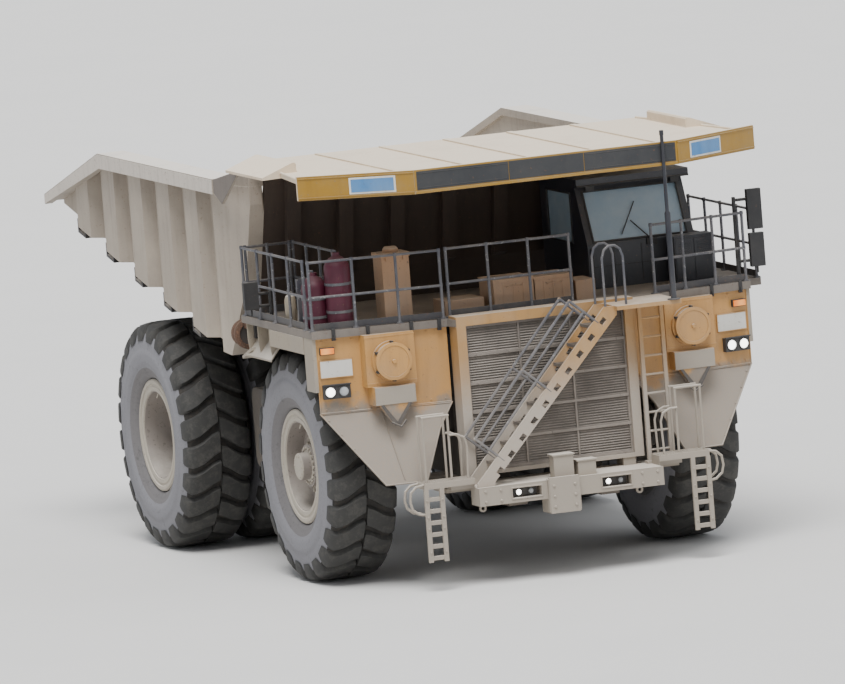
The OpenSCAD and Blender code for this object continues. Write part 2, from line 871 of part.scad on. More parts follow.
// Foot of the skirt, as its two ends along the fascia, and its inner corner
skirt_foot = [560, 1200];
skirt_corner = [400, 250];
return_ends = [430, 40];
return_h = 820;
flap_x = front_x - 930;
flap_z = 3560;
flap_l = 460;
flap_y = 3080;

// Fascia plate below the deck, and the leaning skirt below its knee
module fascia() {
    translate([fascia_x0, fascia_y0, 0])
        rotate([0, 0, fascia_sweep]) {
            translate([-60 - fascia_t, 0, 0])
                block([0, 0, knee_z], [fascia_t, fascia_len - 60, deck_under - seat_gap]);
            translate([-60, 0, knee_z])
                rotate([0, -skirt_lean, 0])
                    rotate([0, 90, 0])
                        translate([0, 0, -fascia_t])
                            linear_extrude(fascia_t)
                                polygon([[0, 0], [0, fascia_len - 60],
                                         [skirt_len, skirt_foot[1]],
                                         [skirt_len, skirt_foot[0]], skirt_corner]);
        }
}

// Front fenders: fascia, skirt, outer return and rear flap of each side
module front_fenders() {
    color(ochre)
    both_sides() {
        fascia();
        // Outer return along the deck's side
        block([deck_front_out - return_ends[0], deck_w / 2 - 60, deck_under - return_h],
              [deck_front_out - return_ends[1], deck_w / 2 - 20, deck_under - seat_gap]);
        // Flap behind the wheel
        translate([flap_x, 0, flap_z])
            rotate([0, -20, 0])
                block([-flap_l, flap_y, -20], [0, deck_w / 2, 20]);
        block([flap_x - 85, flap_y + 220, flap_z - 20],
              [flap_x - 15, flap_y + 280, deck_under - seat_gap]);
    }
}

cleaner_y = deck_w / 2 - 1140;
cleaner_w = 800;
cleaner_x1 = front_x + 2440;
cleaner_z0 = 2870;
cleaner_split_z = 3150;
cleaner_low_w = 660;
cap_t = 160;
cup_z = 2560;
cup_w = [480, 100];
cleaner_z1 = deck_under - seat_gap;
cap_d = 560;
cap_z = 3530;

// Front face of the fascia at a given place across
function fascia_x(y) = deck_edge_x(y) - 60 / cos(fascia_sweep);

// Upright prism from the fascia forward to x1, between y0 and y1
module on_fascia(y0, y1, x1, z0, z1) {
    translate([0, 0, z0]) linear_extrude(z1 - z0)
        polygon([[fascia_x(y0) + seat_gap, y0], [x1, y0], [x1, y1], [fascia_x(y1) + seat_gap, y1]]);
}

// Air cleaners: box, round cap, lower box and the dust cup's point
module air_cleaners() {
    color(ochre)
    both_sides() {
        on_fascia(cleaner_y - cleaner_w / 2, cleaner_y + cleaner_w / 2, cleaner_x1 - cap_t,
                  cleaner_split_z, cleaner_z1);
        translate([cleaner_x1 - cap_t - 1, cleaner_y, cap_z]) rotate([0, 90, 0])
            cylinder(h = cap_t + 1, d = cap_d);
        translate([cleaner_x1 - cap_t - 1, cleaner_y, cap_z]) rotate([0, 90, 0])
            cylinder(h = 60, d = cap_d + 60);
        on_fascia(cleaner_y - cleaner_low_w / 2, cleaner_y + cleaner_low_w / 2, cleaner_x1 - 60,
                  cleaner_z0, cleaner_split_z + 1);
        front_slab(cleaner_x1 - 200, cleaner_x1 - 60)
            polygon([[cleaner_y - cup_w[0] / 2, cleaner_z0 + 1], [cleaner_y + cup_w[0] / 2, cleaner_z0 + 1],
                     [cleaner_y + cup_w[1] / 2, cup_z], [cleaner_y - cup_w[1] / 2, cup_z]]);
    }
}

// Boxes on a fascia: two ends back from its outer edge, depth out of it, low and high
fascia_boxes = [[530, 110, 60, 3020, 3235], [330, 110, 20, 3700, 3800], [600, 100, -40, 3340, 3600]];

// Headlamps: pair box and turn lamp on each fascia, two lamps in the bumper
module headlamps() {
    color(pale) {
        both_sides()
            translate([fascia_x0, fascia_y0, 0])
                rotate([0, 0, fascia_sweep]) {
                    for (b = fascia_boxes)
                        block([-60 + seat_gap, fascia_len - b[0], b[3]], [b[2], fascia_len - b[1], b[4]]);
                }
        for (y = [-lamp_hole_y, lamp_hole_y])
            block([bumper_x - 180 + seat_gap, y - 190, bumper_z + 90],
                  [bumper_x - 60, y + 190, bumper_z + 200]);
    }
}

rail_y = deck_w / 2 - 40;
rear_rail_x = front_x - 1150;
inner_rail_y = 2700;

// Handrail run: posts and three tubes between two points
module rail_run(a, b, posts) {
    for (i = [0:posts]) {
        p = a + (b - a) * i / posts;
        bar([p[0], p[1], deck_z + seat_gap], [p[0], p[1], deck_z + handrail_h], handrail_d);
    }
    for (f = [0.5, 1])
        bar([a[0], a[1], deck_z + handrail_h * f - handrail_d / 2],
            [b[0], b[1], deck_z + handrail_h * f - handrail_d / 2], handrail_d - 6);
}

// Handrails round the decks
module handrails() {
    color(dark) {
        rail_run([deck_edge_x(rail_y) - 70, -rail_y], [deck_edge_x(hood_y + 80) - 70, -hood_y - 80], 3);
        rail_run([radiator_x - 420, -hood_y + 60], [radiator_x - 420, 620], 3);
        rail_run([deck_edge_x(hood_y + 520) - 70, hood_y + 520], [deck_edge_x(rail_y) - 70, rail_y], 3);
        rail_run([walkway_x - 60, walkway_y - 40], [rear_rail_x, walkway_y - 40], 4);
        rail_run([deck_front_out - 320, -rail_y], [rear_rail_x, -rail_y], 4);
        rail_run([rear_rail_x, -rail_y + 60], [rear_rail_x, -inner_rail_y - 60], 2);
        rail_run([front_x + 700, -inner_rail_y], [rear_rail_x, -inner_rail_y], 3);
    }
}

bottle_x = front_x + 1620;
bottle_d = 400;
// Fire bottles: place ahead, place in from the deck's edge, height of the straight part
bottles = [[70, 590, 900], [-190, 290, 640]];
// Boxes on the deck: rear and front end ahead of the axle, right and left end, height
deck_boxes = [[1380, 1780, -2290, -1850, 1040], [1270, 1820, 800, 1120, 300],
              [1320, 1870, -1350, -720, 220], [1250, 1900, -560, 90, 460],
              [1250, 1900, 110, 720, 440]];
canister = deck_boxes[0];
mast_h = [1350, 1250];

mirror_x = front_x + 1850;
mast_x = bumper_x - 5;
mast_y = landing_y1 - 100;

right_mirror_x = front_x - 170;
mirror_w = 240;
// Arms and heads of the left and the right stack; heads by their two ends above the deck
left_arms = [300, 1250];
left_heads = [[200, 720], [780, 1400]];
right_arms = [240, 430];
right_heads = [[200, 620]];

// Mirror stack: upright, arms out from it, and the heads that they carry
module mirror_stack(x, arms, heads) {
    for (h = arms)
        bar([x, rail_y - 80, deck_z + h], [x, overall_w / 2 - mirror_w / 2, deck_z + h], 50);
    bar([x, rail_y - 80, deck_z + seat_gap], [x, rail_y - 80, deck_z + arms[1] + 50], 60);
    for (h = heads)
        block([x - 40, overall_w / 2 - mirror_w, deck_z + h[0]],
              [x + 60, overall_w / 2, deck_z + h[1]]);
}

// Tall mirror stack at the left deck's corner, a short one on the right
module mirrors() {
    mirror_stack(mirror_x, left_arms, left_heads);
    mirror([0, 1, 0]) mirror_stack(right_mirror_x, right_arms, right_heads);
}

// What stands on the decks: fire tanks, cabinets, battery boxes, mast, mirrors
module deck_equipment() {
    color(maroon)
    for (b = bottles)
        translate([bottle_x + b[0], b[1] - deck_w / 2, deck_z + seat_gap]) {
            cylinder(h = b[2], d = bottle_d);
            translate([0, 0, b[2] - 1]) cylinder(h = 180, d1 = bottle_d, d2 = 0.4 * bottle_d);
            translate([0, 0, b[2] + 178]) cylinder(h = 90, d = 0.3 * bottle_d);
        }
    color(ochre) {
        for (b = deck_boxes)
            block([front_x + b[0], b[2], deck_z + seat_gap], [front_x + b[1], b[3], deck_z + b[4]]);
        translate([front_x + (canister[0] + canister[1]) / 2, (canister[2] + canister[3]) / 2,
                   deck_z + canister[4] - 1])
            cylinder(h = 90, d = 240);
    }
    color(black) {
        block([front_x + 900, deck_w / 2 - 900, deck_z + seat_gap],
              [front_x + 1200, deck_w / 2 - 270, deck_z + 720]);
        translate([mast_x, mast_y, deck_z + seat_gap]) cylinder(h = mast_h[0], d = 90, $fn = 32);
        translate([mast_x, mast_y, deck_z + mast_h[0]]) cylinder(h = mast_h[1], d = 56, $fn = 32);
        mirrors();
    }
}

// Cab

cab_y0 = deck_w / 2 - 2150;
cab_y1 = cab_y0 + cab_w;
cab_x0 = front_x - 1240;
cab_x1 = cab_x0 + cab_l;
cab_floor = deck_z + seat_gap;
sill_z = deck_z + 680;
roof_z = deck_z + cab_h - 130;
screen_back = 420;
door_x0 = cab_x0 + 560;
door_w = 560;
door_x1 = door_x0 + door_w;
door_gap = 6;
hinge_out = 25;
hinge_d = 24;
hinge_zs = [sill_z - 260, roof_z - 320];

// Cab shell: hollow walls with windows and doorway cut, roof and hinge pins
module cab_shell() {
    color(black)
    difference() {
        side_slab(cab_y0, cab_y1)
            polygon([[cab_x0, cab_floor], [cab_x1, cab_floor], [cab_x1, sill_z],
                     [cab_x1 - screen_back, roof_z], [cab_x0, roof_z]]);
        side_slab(cab_y0 + cab_wall, cab_y1 - cab_wall)
            polygon([[cab_x0 + cab_wall, cab_floor + cab_wall], [cab_x1 - cab_wall, cab_floor + cab_wall],
                     [cab_x1 - cab_wall, sill_z], [cab_x1 - screen_back - cab_wall, roof_z],
                     [cab_x0 + cab_wall, roof_z]]);
        // Windscreen opening
        side_slab(cab_y0 + 110, cab_y1 - 110)
            polygon([[cab_x1 - 200, sill_z + 40], [cab_x1 + 100, sill_z + 40],
                     [cab_x1 - screen_back + 130, roof_z - 90], [cab_x1 - screen_back - 170, roof_z - 90]]);
        // Rear window
        block([cab_x0 - 1, cab_y0 + 300, sill_z + 100], [cab_x0 + cab_wall + 1, cab_y1 - 300, roof_z - 160]);
        // Right side window
        block([cab_x0 + 300, cab_y0 - 1, sill_z], [cab_x1 - 620, cab_y0 + cab_wall + 1, roof_z - 120]);
        // Doorway
        block([door_x0 - door_gap, cab_y1 - cab_wall - 1, cab_floor + cab_wall + 30 - door_gap],
              [door_x1 + door_gap, cab_y1 + 1, roof_z - 60 + door_gap]);
    }
    // Hinge brackets with upright pins behind the doorway
    color(black)
    for (z = hinge_zs) {
        block([door_x0 - 70, cab_y1 - 1, z], [door_x0 - door_gap - 4, cab_y1 + hinge_out + 12, z + 40]);
        block([door_x0 - 70, cab_y1 + 8, z], [door_x0 + 12, cab_y1 + hinge_out + 12, z + 40]);
        translate([door_x0, cab_y1 + hinge_out, z + 39]) cylinder(h = 91, d = hinge_d);
    }
    color(black)
    block([cab_x0 - 20, cab_y0 - 30, roof_z - 1],
          [cab_x1 - screen_back + 190, cab_y1 + 60, roof_z + 120]);
}

// Windscreen, rear and right side panes in the middle of their walls
module cab_glass() {
    color(glassy) {
        side_slab(cab_y0 + 110 + seat_gap, cab_y1 - 110 - seat_gap)
            polygon([[cab_x1 - 45, sill_z + 40 + seat_gap], [cab_x1 - 25, sill_z + 40 + seat_gap],
                     [cab_x1 - screen_back + 17, roof_z - 90 - seat_gap],
                     [cab_x1 - screen_back - 3, roof_z - 90 - seat_gap]]);
        block([cab_x0 + 20, cab_y0 + 300 + seat_gap, sill_z + 100 + seat_gap],
              [cab_x0 + 36, cab_y1 - 300 - seat_gap, roof_z - 160 - seat_gap]);
        block([cab_x0 + 300 + seat_gap, cab_y0 + 20, sill_z + seat_gap],
              [cab_x1 - 620 - seat_gap, cab_y0 + 36, roof_z - 120 - seat_gap]);
    }
}

seat_x = cab_x0 + 650;
seat_y = (cab_y0 + cab_y1) / 2 + 120;

// Seat, dash and steering wheel that show through the glass
module cab_interior() {
    color(dark) {
        block([seat_x - 260, seat_y - 260, cab_floor + cab_wall + seat_gap],
              [seat_x + 260, seat_y + 260, cab_floor + 520]);
        block([seat_x - 330, seat_y - 260, cab_floor + 519], [seat_x - 200, seat_y + 260, cab_floor + 1180]);
        block([cab_x1 - 420, cab_y0 + cab_wall + 20, cab_floor + cab_wall + seat_gap],
              [cab_x1 - 80, cab_y1 - cab_wall - 20, sill_z - 40]);
        bar([cab_x1 - 400, seat_y, sill_z - 60], [cab_x1 - 520, seat_y, sill_z + 90], 60);
        translate([cab_x1 - 520, seat_y, sill_z + 90]) rotate([0, -38, 0])
            cylinder(h = 30, d = 460, $fn = 32);
    }
}

// Door leaf with its window cut, hinged at its rear edge
module cab_door() {
    color(black)
    difference() {
        block([door_x0, cab_y1 - cab_wall, cab_floor + cab_wall + 30], [door_x1, cab_y1, roof_z - 60]);
        block([door_x0 + 90, cab_y1 - cab_wall - 1, sill_z - 60], [door_x1 - 90, cab_y1 + 1, roof_z - 150]);
    }
    // Hinge barrels that turn on the cab's pins
    color(black)
    for (z = hinge_zs)
        difference() {
            union() {
                translate([door_x0, cab_y1 + hinge_out, z + 45]) cylinder(h = 80, d = 44);
                block([door_x0, cab_y1 - 1, z + 45], [door_x0 + 60, cab_y1 + hinge_out, z + 125]);
            }
            translate([door_x0, cab_y1 + hinge_out, z + 44]) cylinder(h = 82, d = hinge_d + 2 * run_fit);
        }
}

// Pane of the door
module door_glass() {
    color(glassy)
    block([door_x0 + 90 + seat_gap, cab_y1 - cab_wall + 20, sill_z - 60 + seat_gap],
          [door_x1 - 90 - seat_gap, cab_y1 - cab_wall + 36, roof_z - 150 - seat_gap]);
}

// Dump body

floor_slope = tan(floor_angle);
tail_floor_z = 5085;
front_floor_x = front_x - 2285;
foot_x = front_floor_x - 75;
wall_knee = [front_floor_x + 530, 4480];
wall_top = [front_floor_x + 850, 6000];
wall_foot_z = tail_floor_z - floor_slope * (front_floor_x - tail_x);
taper_x = front_floor_x - 220;
taper_in = 275;
knee_x = rear_x - 1750;
rail_front_x = front_x - 2080;
inner_y = body_w / 2 - rib_depth - wall_t;
below_body = 3000;
body_room = 4000;
front_rib_pitch = 850;
front_rib_w = 220;
front_rib_d = 150;

function floor_under(x) = tail_floor_z - floor_slope * (x - tail_x);

// Plan of the body's inside at a given offset from the wall's inner face
module body_plan(grow) {
    w = inner_y + grow;
    polygon([
        [tail_x, -w], [taper_x, -w], [wall_top[0] + 40, -w + taper_in],
        [wall_top[0] + 40, w - taper_in], [taper_x, w], [tail_x, w]
    ]);
}

// Side outline of the walls: floor line, front line, top and tail slope
module wall_outline() {
    polygon([
        [tail_x, tail_floor_z], [front_floor_x, wall_foot_z], wall_knee,
        [wall_top[0], body_top_z - 120], [knee_x, body_top_z - 120], [tail_x, tail_floor_z + 60]
    ]);
}

// Floor plate between the side walls
module body_floor() {
    color(dust)
    intersection() {
        side_slab(-body_w / 2, body_w / 2)
            polygon([[tail_x, tail_floor_z], [foot_x, floor_under(foot_x)],
                     [foot_x, floor_under(foot_x) + floor_t], [tail_x, tail_floor_z + floor_t]]);
        translate([0, 0, below_body]) linear_extrude(body_room) body_plan(-seat_gap);
    }
}

rib_w = 610;
rib_base_w = 760;
rib_first = tail_x + 1180;
rib_pitch = 1345;
rib_count = 5;

// Side walls cut to the body's outline
module body_walls() {
    intersection() {
        union() {
            translate([0, 0, below_body]) linear_extrude(body_room)
                difference() {
                    body_plan(wall_t);
                    body_plan(0);
                    translate([wall_top[0] + 10, 0]) square([200, 9000], center = true);
                }
            both_sides()
                translate([0, 0, below_body]) linear_extrude(body_room) {
                    for (i = [0:rib_count - 1])
                        translate([rib_first + i * rib_pitch, inner_y + wall_t - 1])
                            polygon([[0, 0], [rib_base_w, 0],
                                     [(rib_base_w + rib_w) / 2, rib_depth + 1],
                                     [(rib_base_w - rib_w) / 2, rib_depth + 1]]);
                    // Wide front panel that follows the taper
                    polygon([[taper_x - 80, inner_y + wall_t - 1], [taper_x, inner_y + wall_t + rib_depth],
                             [wall_top[0] - 60, inner_y + wall_t + rib_depth - taper_in],
                             [wall_top[0] - 60, inner_y + wall_t - taper_in - 1],
                             [taper_x, inner_y + wall_t - 1]]);
                }
        }
        side_slab(-body_w / 2 - 100, body_w / 2 + 100) wall_outline();
    }
}

canopy_t = 60;
canopy_drop = 90;
canopy_seat = canopy_z - canopy_drop - canopy_t - seat_gap;

// Front wall between the sides, with its upright ribs
module body_front_wall() {
    color(shaded)
    intersection() {
        union() {
            side_slab(-body_w / 2, body_w / 2)
                polygon([
                    [foot_x + seat_gap, floor_under(foot_x)], [front_floor_x, wall_foot_z], wall_knee,
                    [wall_top[0], wall_top[1]],
                    [wall_top[0], canopy_seat], [wall_top[0] - 70, canopy_seat],
                    [wall_top[0] - 70, wall_top[1]], wall_knee + [-70, 10],
                    [foot_x + seat_gap, wall_foot_z + floor_t + 16]
                ]);
            for (i = [-3:3])
                side_slab(i * front_rib_pitch - front_rib_w / 2, i * front_rib_pitch + front_rib_w / 2)
                    polygon([wall_knee, wall_knee + [front_rib_d, 60],
                             [wall_top[0] + front_rib_d, wall_top[1]],
                             [wall_top[0] + front_rib_d, canopy_seat], [wall_top[0] - 1, canopy_seat],
                             [wall_top[0] - 1, wall_top[1]], wall_knee + [-2, 0]]);
        }
        translate([0, 0, below_body]) linear_extrude(body_room)
            polygon([[front_floor_x - 300, -inner_y + seat_gap], [taper_x, -inner_y + seat_gap],
                     [wall_top[0] + 200, -inner_y + taper_in + 45],
                     [wall_top[0] + 200, inner_y - taper_in - 45],
                     [taper_x, inner_y - seat_gap], [front_floor_x - 300, inner_y - seat_gap]]);
    }
}

rail_h = 240;
wing_x0 = front_x - 980;
wing_x1 = front_x + 745;
wing_low_z = canopy_z - 165;

// Top rails with their slope to the tail, and the boards up to the canopy
module body_rails() {
    both_sides() {
        side_slab(inner_y - 60, body_rail_w / 2)
            polygon([
                [tail_x, tail_floor_z + 60 + seat_gap], [knee_x, body_top_z - 121],
                [rail_front_x, body_top_z - 121],
                [rail_front_x, body_top_z], [knee_x, body_top_z],
                [tail_x, tail_floor_z + 180]
            ]);
        side_slab(body_w / 2 - 1, body_rail_w / 2)
            polygon([
                [tail_x, tail_floor_z + 20], [knee_x + 40, body_top_z - rail_h],
                [rail_front_x, body_top_z - rail_h],
                [rail_front_x, body_top_z - 10], [knee_x, body_top_z - 10],
                [tail_x, tail_floor_z + 170]
            ]);
        side_slab(body_rail_w / 2 - 60, body_rail_w / 2 - 20)
            polygon([
                [rail_front_x - 60, body_top_z - rail_h + 20], [rail_front_x + 370, body_top_z - 360],
                [wing_x0 + 120, wing_low_z - 30], [wing_x0, wing_low_z - seat_gap],
                [rail_front_x - 60, body_top_z - 20]
            ]);
    }
}

// Side walls with their upright ribs and the top rails
module body_sides() {
    color(dust) {
        body_walls();
        body_rails();
    }
}

bolster_d = 220;
bolster_w = 360;
bolster_end = inner_y + wall_t + 70;

// Cross bolsters under the floor, open at their ends
module body_bolsters() {
    for (i = [0:rib_count - 1]) {
        x = rib_first - 360 + i * rib_pitch;
        top = floor_under(x + bolster_w);
        difference() {
            side_slab(-bolster_end, bolster_end)
                polygon([[x, floor_under(x) - seat_gap], [x + bolster_w, top - seat_gap],
                         [x + bolster_w, top - bolster_d], [x, floor_under(x) - bolster_d]]);
            both_sides()
                side_slab(bolster_end - 400, bolster_end + 1)
                    polygon([[x + 40, floor_under(x) - 50], [x + bolster_w - 40, top - 50],
                             [x + bolster_w - 40, top - bolster_d + 40],
                             [x + 40, floor_under(x) - bolster_d + 40]]);
        }
    }
}

hoist_top = [rear_x + 2450, 3250];
beam_y0 = rail_in + 20;
beam_y1 = frame_y - 20;
ear_t = 110;

beam_x0 = pivot_x + 550;
beam_x1 = front_floor_x - 20;
hoist_ear_t = 24;
hoist_ear_in = hoist_y - 115;
hoist_ear_out = hoist_y + 115;

// Height of the bolsters' undersides
function bolster_under(x) = floor_under(x) - bolster_d + 1;

// Height of the frame rails' top face
function rail_top(x) = rail_top_rear
    + (x - beam_x0) * (rail_top_front - rail_top_rear) / (step_x - beam_x0);

// Two long beams above the frame, with the ears of the pivot and the hoists
module body_beams() {
    both_sides() {
        side_slab(beam_y0, beam_y1)
            polygon([
                [beam_x0, rail_top_rear + beam_gap], [beam_x1, rail_top(beam_x1) + beam_gap],
                [beam_x1, bolster_under(beam_x1)], [beam_x0, bolster_under(beam_x0)]
            ]);
        // Pivot ear outside the rail, with its tie to the beam
        difference() {
            side_slab(frame_y + 10, frame_y + 10 + ear_t)
                polygon([
                    [pivot_x - 300, pivot_z - 120], [pivot_x - 120, pivot_z - 300],
                    [pivot_x + 120, pivot_z - 300], [pivot_x + 300, pivot_z - 120],
                    [pivot_x + 900, bolster_under(pivot_x + 900)],
                    [pivot_x - 350, bolster_under(pivot_x - 350)]
                ]);
            cross_bar(pivot_x, pivot_z, frame_y, frame_y + 200, pivot_pin_d + 2 * run_fit);
        }
        block([beam_x0 + 20, beam_y1 - 1, rail_top_rear + 770],
              [beam_x0 + 200, frame_y + 11, rail_top_rear + 930]);
        // Hoist ears with their bosses, joined to the beam
        for (y = [hoist_ear_in - hoist_ear_t, hoist_ear_out])
            side_slab(y, y + hoist_ear_t)
                polygon([
                    [hoist_top[0] - 90, hoist_top[1] - 120], [hoist_top[0] + 90, hoist_top[1] - 120],
                    [hoist_top[0] + 260, floor_under(hoist_top[0] + 260) - seat_gap],
                    [hoist_top[0] - 260, floor_under(hoist_top[0] - 260) - seat_gap]
                ]);
        cross_bar(hoist_top[0], hoist_top[1], hoist_ear_out + hoist_ear_t - 1,
                  hoist_ear_out + hoist_ear_t + 30, 180);
        block([hoist_top[0] - 60, beam_y1 - 1, hoist_top[1] + 230],
              [hoist_top[0] + 60, hoist_ear_out + 1, hoist_top[1] + 315]);
    }
}

// Everything welded below the floor plate
module body_underframe() {
    color(dark) {
        body_bolsters();
        body_beams();
    }
}

canopy_break_x = bumper_x - 55;
canopy_break_y = 2130;
canopy_end_x = front_x + 2265;
wing_y = 3180;

plate_z = canopy_z - canopy_t - canopy_drop;
canopy_rib_ys = [-2550, -1700, -850, 0, 850, 1700, 2550];
ridge_ys = [-2100, -1050, 0, 1050, 2100];
panel_t = 14;
// Raised panels of the band, each with its two ends across
band_panels = [[-2080, -640], [-600, 600], [640, 2080]];

// Canopy over the cab and decks: plate, sloping wings, ribs below, front band
module canopy() {
    color(pale) {
        translate([0, 0, plate_z])
            linear_extrude(canopy_t)
                polygon([
                    [wall_top[0] - 70, -wing_y], [canopy_end_x - 60, -wing_y - 450],
                    [canopy_break_x - 60, -canopy_break_y], [canopy_break_x - 60, canopy_break_y],
                    [canopy_end_x - 60, wing_y + 450], [wall_top[0] - 70, wing_y]
                ]);
        // Flat ridges along the top
        for (y = ridge_ys)
            block([wall_top[0] + 60, y - 50, plate_z + canopy_t - 1],
                  [canopy_break_x - 160, y + 50, plate_z + canopy_t + 22]);
        both_sides()
            front_slab(wing_x0, wing_x1)
                polygon([
                    [wing_y - 10, plate_z], [wing_y + 30, canopy_z + 60], [wing_y + 70, canopy_z + 60],
                    [canopy_w / 2 - 50, wing_low_z + 40], [canopy_w / 2 - 50, wing_low_z]
                ]);
        for (y = canopy_rib_ys)
            side_slab(y - 50, y + 50)
                polygon([
                    [wall_top[0] + front_rib_d + seat_gap, plate_z + 1],
                    [wall_top[0] + front_rib_d + seat_gap, plate_z - 150],
                    [canopy_end_x - 260, plate_z - 90], [canopy_end_x - 200, plate_z + 1]
                ]);
    }
    color(black)
    for (p = band_panels)
        block([canopy_break_x - 1, p[0], canopy_z - band_h + 62],
              [canopy_break_x + panel_t, p[1], canopy_z - 30]);
    color(yellow)
    translate([0, 0, canopy_z - band_h])
        linear_extrude(band_h)
            polygon([
                [canopy_end_x, -canopy_w / 2 + 90], [canopy_break_x, -canopy_break_y],
                [canopy_break_x, canopy_break_y], [canopy_end_x, canopy_w / 2 - 90],
                [canopy_end_x - 61, canopy_w / 2 - 90], [canopy_break_x - 61, canopy_break_y],
                [canopy_break_x - 61, -canopy_break_y], [canopy_end_x - 61, -canopy_w / 2 + 90]
            ]);
}

// Hoists

hoist_base = [hoist_x, hoist_z];
hoist_rest = norm(hoist_top - hoist_base);
hoist_lean = atan2(hoist_top[0] - hoist_base[0], hoist_top[1] - hoist_base[1]);

// Places a hoist's pieces along its axis from the base pin
module on_hoist(side) {
    translate([hoist_x, side * hoist_y, hoist_z]) rotate([0, hoist_lean, 0]) children();
}

barrel_z1 = 1740;
sleeve_z0 = 170;
sleeve_z1 = 1760;
rod_z0 = 210;
hoist_eye_w = 110;
barrel_d = 300;
sleeve_d = 230;
rod_d = 170;
rod_eye_d = 220;

// Barrel with its eye on the frame's pin
module hoist_barrel(side) {
    color(steel)
    on_hoist(side)
        difference() {
            union() {
                translate([0, 0, 120]) cylinder(h = barrel_z1 - 120, d = barrel_d);
                rotate([90, 0, 0]) cylinder(h = 130, d = 280, center = true);
                translate([-110, -65, 0]) cube([220, 130, 160]);
            }
            rotate([90, 0, 0]) cylinder(h = 400, d = hoist_pin_d + 2 * run_fit, center = true);
            translate([0, 0, sleeve_z0 - 10]) cylinder(h = barrel_z1, d = sleeve_d + 2 * run_fit);
        }
}

// Middle stage that slides in the barrel
module hoist_sleeve(side) {
    color(steel)
    on_hoist(side)
        difference() {
            translate([0, 0, sleeve_z0]) cylinder(h = sleeve_z1 - sleeve_z0, d = sleeve_d);
            translate([0, 0, rod_z0 - 10]) cylinder(h = sleeve_z1, d = rod_d + 2 * run_fit);
        }
}

// Rod with its eye between the body's ears
module hoist_rod(side) {
    color("silver")
    on_hoist(side) {
        translate([0, 0, rod_z0]) cylinder(h = hoist_rest - rod_z0, d = rod_d);
        translate([0, 0, hoist_rest]) rotate([90, 0, 0])
            cylinder(h = hoist_eye_w, d = rod_eye_d, center = true);
    }
}

main_frame();
front_bumper();
step_platforms();
radiator_frame();
radiator_grille();
stairway();
engine_block();
decks();
front_fenders();
air_cleaners();
headlamps();
handrails();
deck_equipment();
cab_shell();
cab_glass();
cab_interior();
cab_door();
door_glass();
side_tanks();
mufflers();
front_suspension();
rear_axle_housing();
rear_suspension();
knuckle(1);  // knuckle_left
knuckle(-1);  // knuckle_right
tie_rod();
tyre(front_x, front_track / 2);  // front_tyre_left
front_rim(1);  // front_rim_left
tyre(front_x, -front_track / 2);  // front_tyre_right
front_rim(-1);  // front_rim_right
rear_tyres(1);  // rear_tyres_left
rear_rims(1);  // rear_rims_left
rear_tyres(-1);  // rear_tyres_right
rear_rims(-1);  // rear_rims_right
body_floor();
body_underframe();
body_sides();
body_front_wall();
canopy();
hoist_barrel(1);  // hoist_barrel_left
hoist_sleeve(1);  // hoist_sleeve_left
hoist_rod(1);  // hoist_rod_left
hoist_barrel(-1);  // hoist_barrel_right
hoist_sleeve(-1);  // hoist_sleeve_right
hoist_rod(-1);  // hoist_rod_right
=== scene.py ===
"""Looks of the mining dump truck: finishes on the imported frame, finer pieces, light and camera."""
import logging
import math
from dataclasses import dataclass, field
from enum import Enum
from typing import Iterable, Iterator, Sequence

import bmesh
import bpy
from mathutils import Matrix, Vector


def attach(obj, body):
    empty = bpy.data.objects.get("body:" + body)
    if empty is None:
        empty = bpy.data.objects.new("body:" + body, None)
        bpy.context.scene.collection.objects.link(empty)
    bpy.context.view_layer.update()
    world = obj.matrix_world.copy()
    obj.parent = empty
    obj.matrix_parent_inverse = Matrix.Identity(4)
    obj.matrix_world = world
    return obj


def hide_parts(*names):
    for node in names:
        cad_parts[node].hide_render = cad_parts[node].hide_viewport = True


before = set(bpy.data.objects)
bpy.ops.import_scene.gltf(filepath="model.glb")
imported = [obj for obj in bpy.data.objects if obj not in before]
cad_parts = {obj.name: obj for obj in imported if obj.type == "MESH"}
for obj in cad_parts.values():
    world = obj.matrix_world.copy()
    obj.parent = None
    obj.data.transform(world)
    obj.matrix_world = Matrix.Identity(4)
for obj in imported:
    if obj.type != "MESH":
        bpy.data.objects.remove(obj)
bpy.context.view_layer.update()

LOG = logging.getLogger("dump_truck")

# Places of the built truck, in metres
AXLE_Z = 1.785
TYRE_R = 1.785
FRONT_X = 3.6275
REAR_X = -2.2775
FRONT_WHEEL_Y = 2.805
REAR_TYRE_YS = (1.8465, 3.1165)
REAR_HUB_Y = 2.4815
TWIN_PITCH = REAR_TYRE_YS[1] - REAR_HUB_Y
DECK_Z = 4.06
RADIATOR_X = 6.1875
BUMPER_X = 6.8175
BUMPER_TOP = 1.53
BUMPER_Z = 1.25
BUMPER_LAMP_YS = (-0.73, 0.73)

Point = tuple[float, float, float]
Flat = tuple[float, float]
Colour = tuple[float, float, float, float]
Socket = bpy.types.NodeSocket

# Edges that bend by more than this get rounded
BEVEL_FROM = math.radians(40)

X_AXIS: Point = (1, 0, 0)
Y_AXIS: Point = (0, 1, 0)
Z_AXIS: Point = (0, 0, 1)


class Side(Enum):
    """The truck's two sides, by the sign of Y."""

    LEFT = 1
    RIGHT = -1

    @property
    def word(self) -> str:
        """Name of the side as the bodies spell it."""
        return self.name.lower()


def linear(code: str) -> Colour:
    """Turns an sRGB hex colour to linear RGBA.

    Args:
        code: Colour such as "#c08a48".

    Returns:
        The four linear channels, with alpha 1.
    """
    def channel(text: str) -> float:
        """Turns one pair of hex digits to linear."""
        v = int(text, 16) / 255
        return v / 12.92 if v <= 0.04045 else ((v + 0.055) / 1.055) ** 2.4

    return channel(code[1:3]), channel(code[3:5]), channel(code[5:7]), 1.0


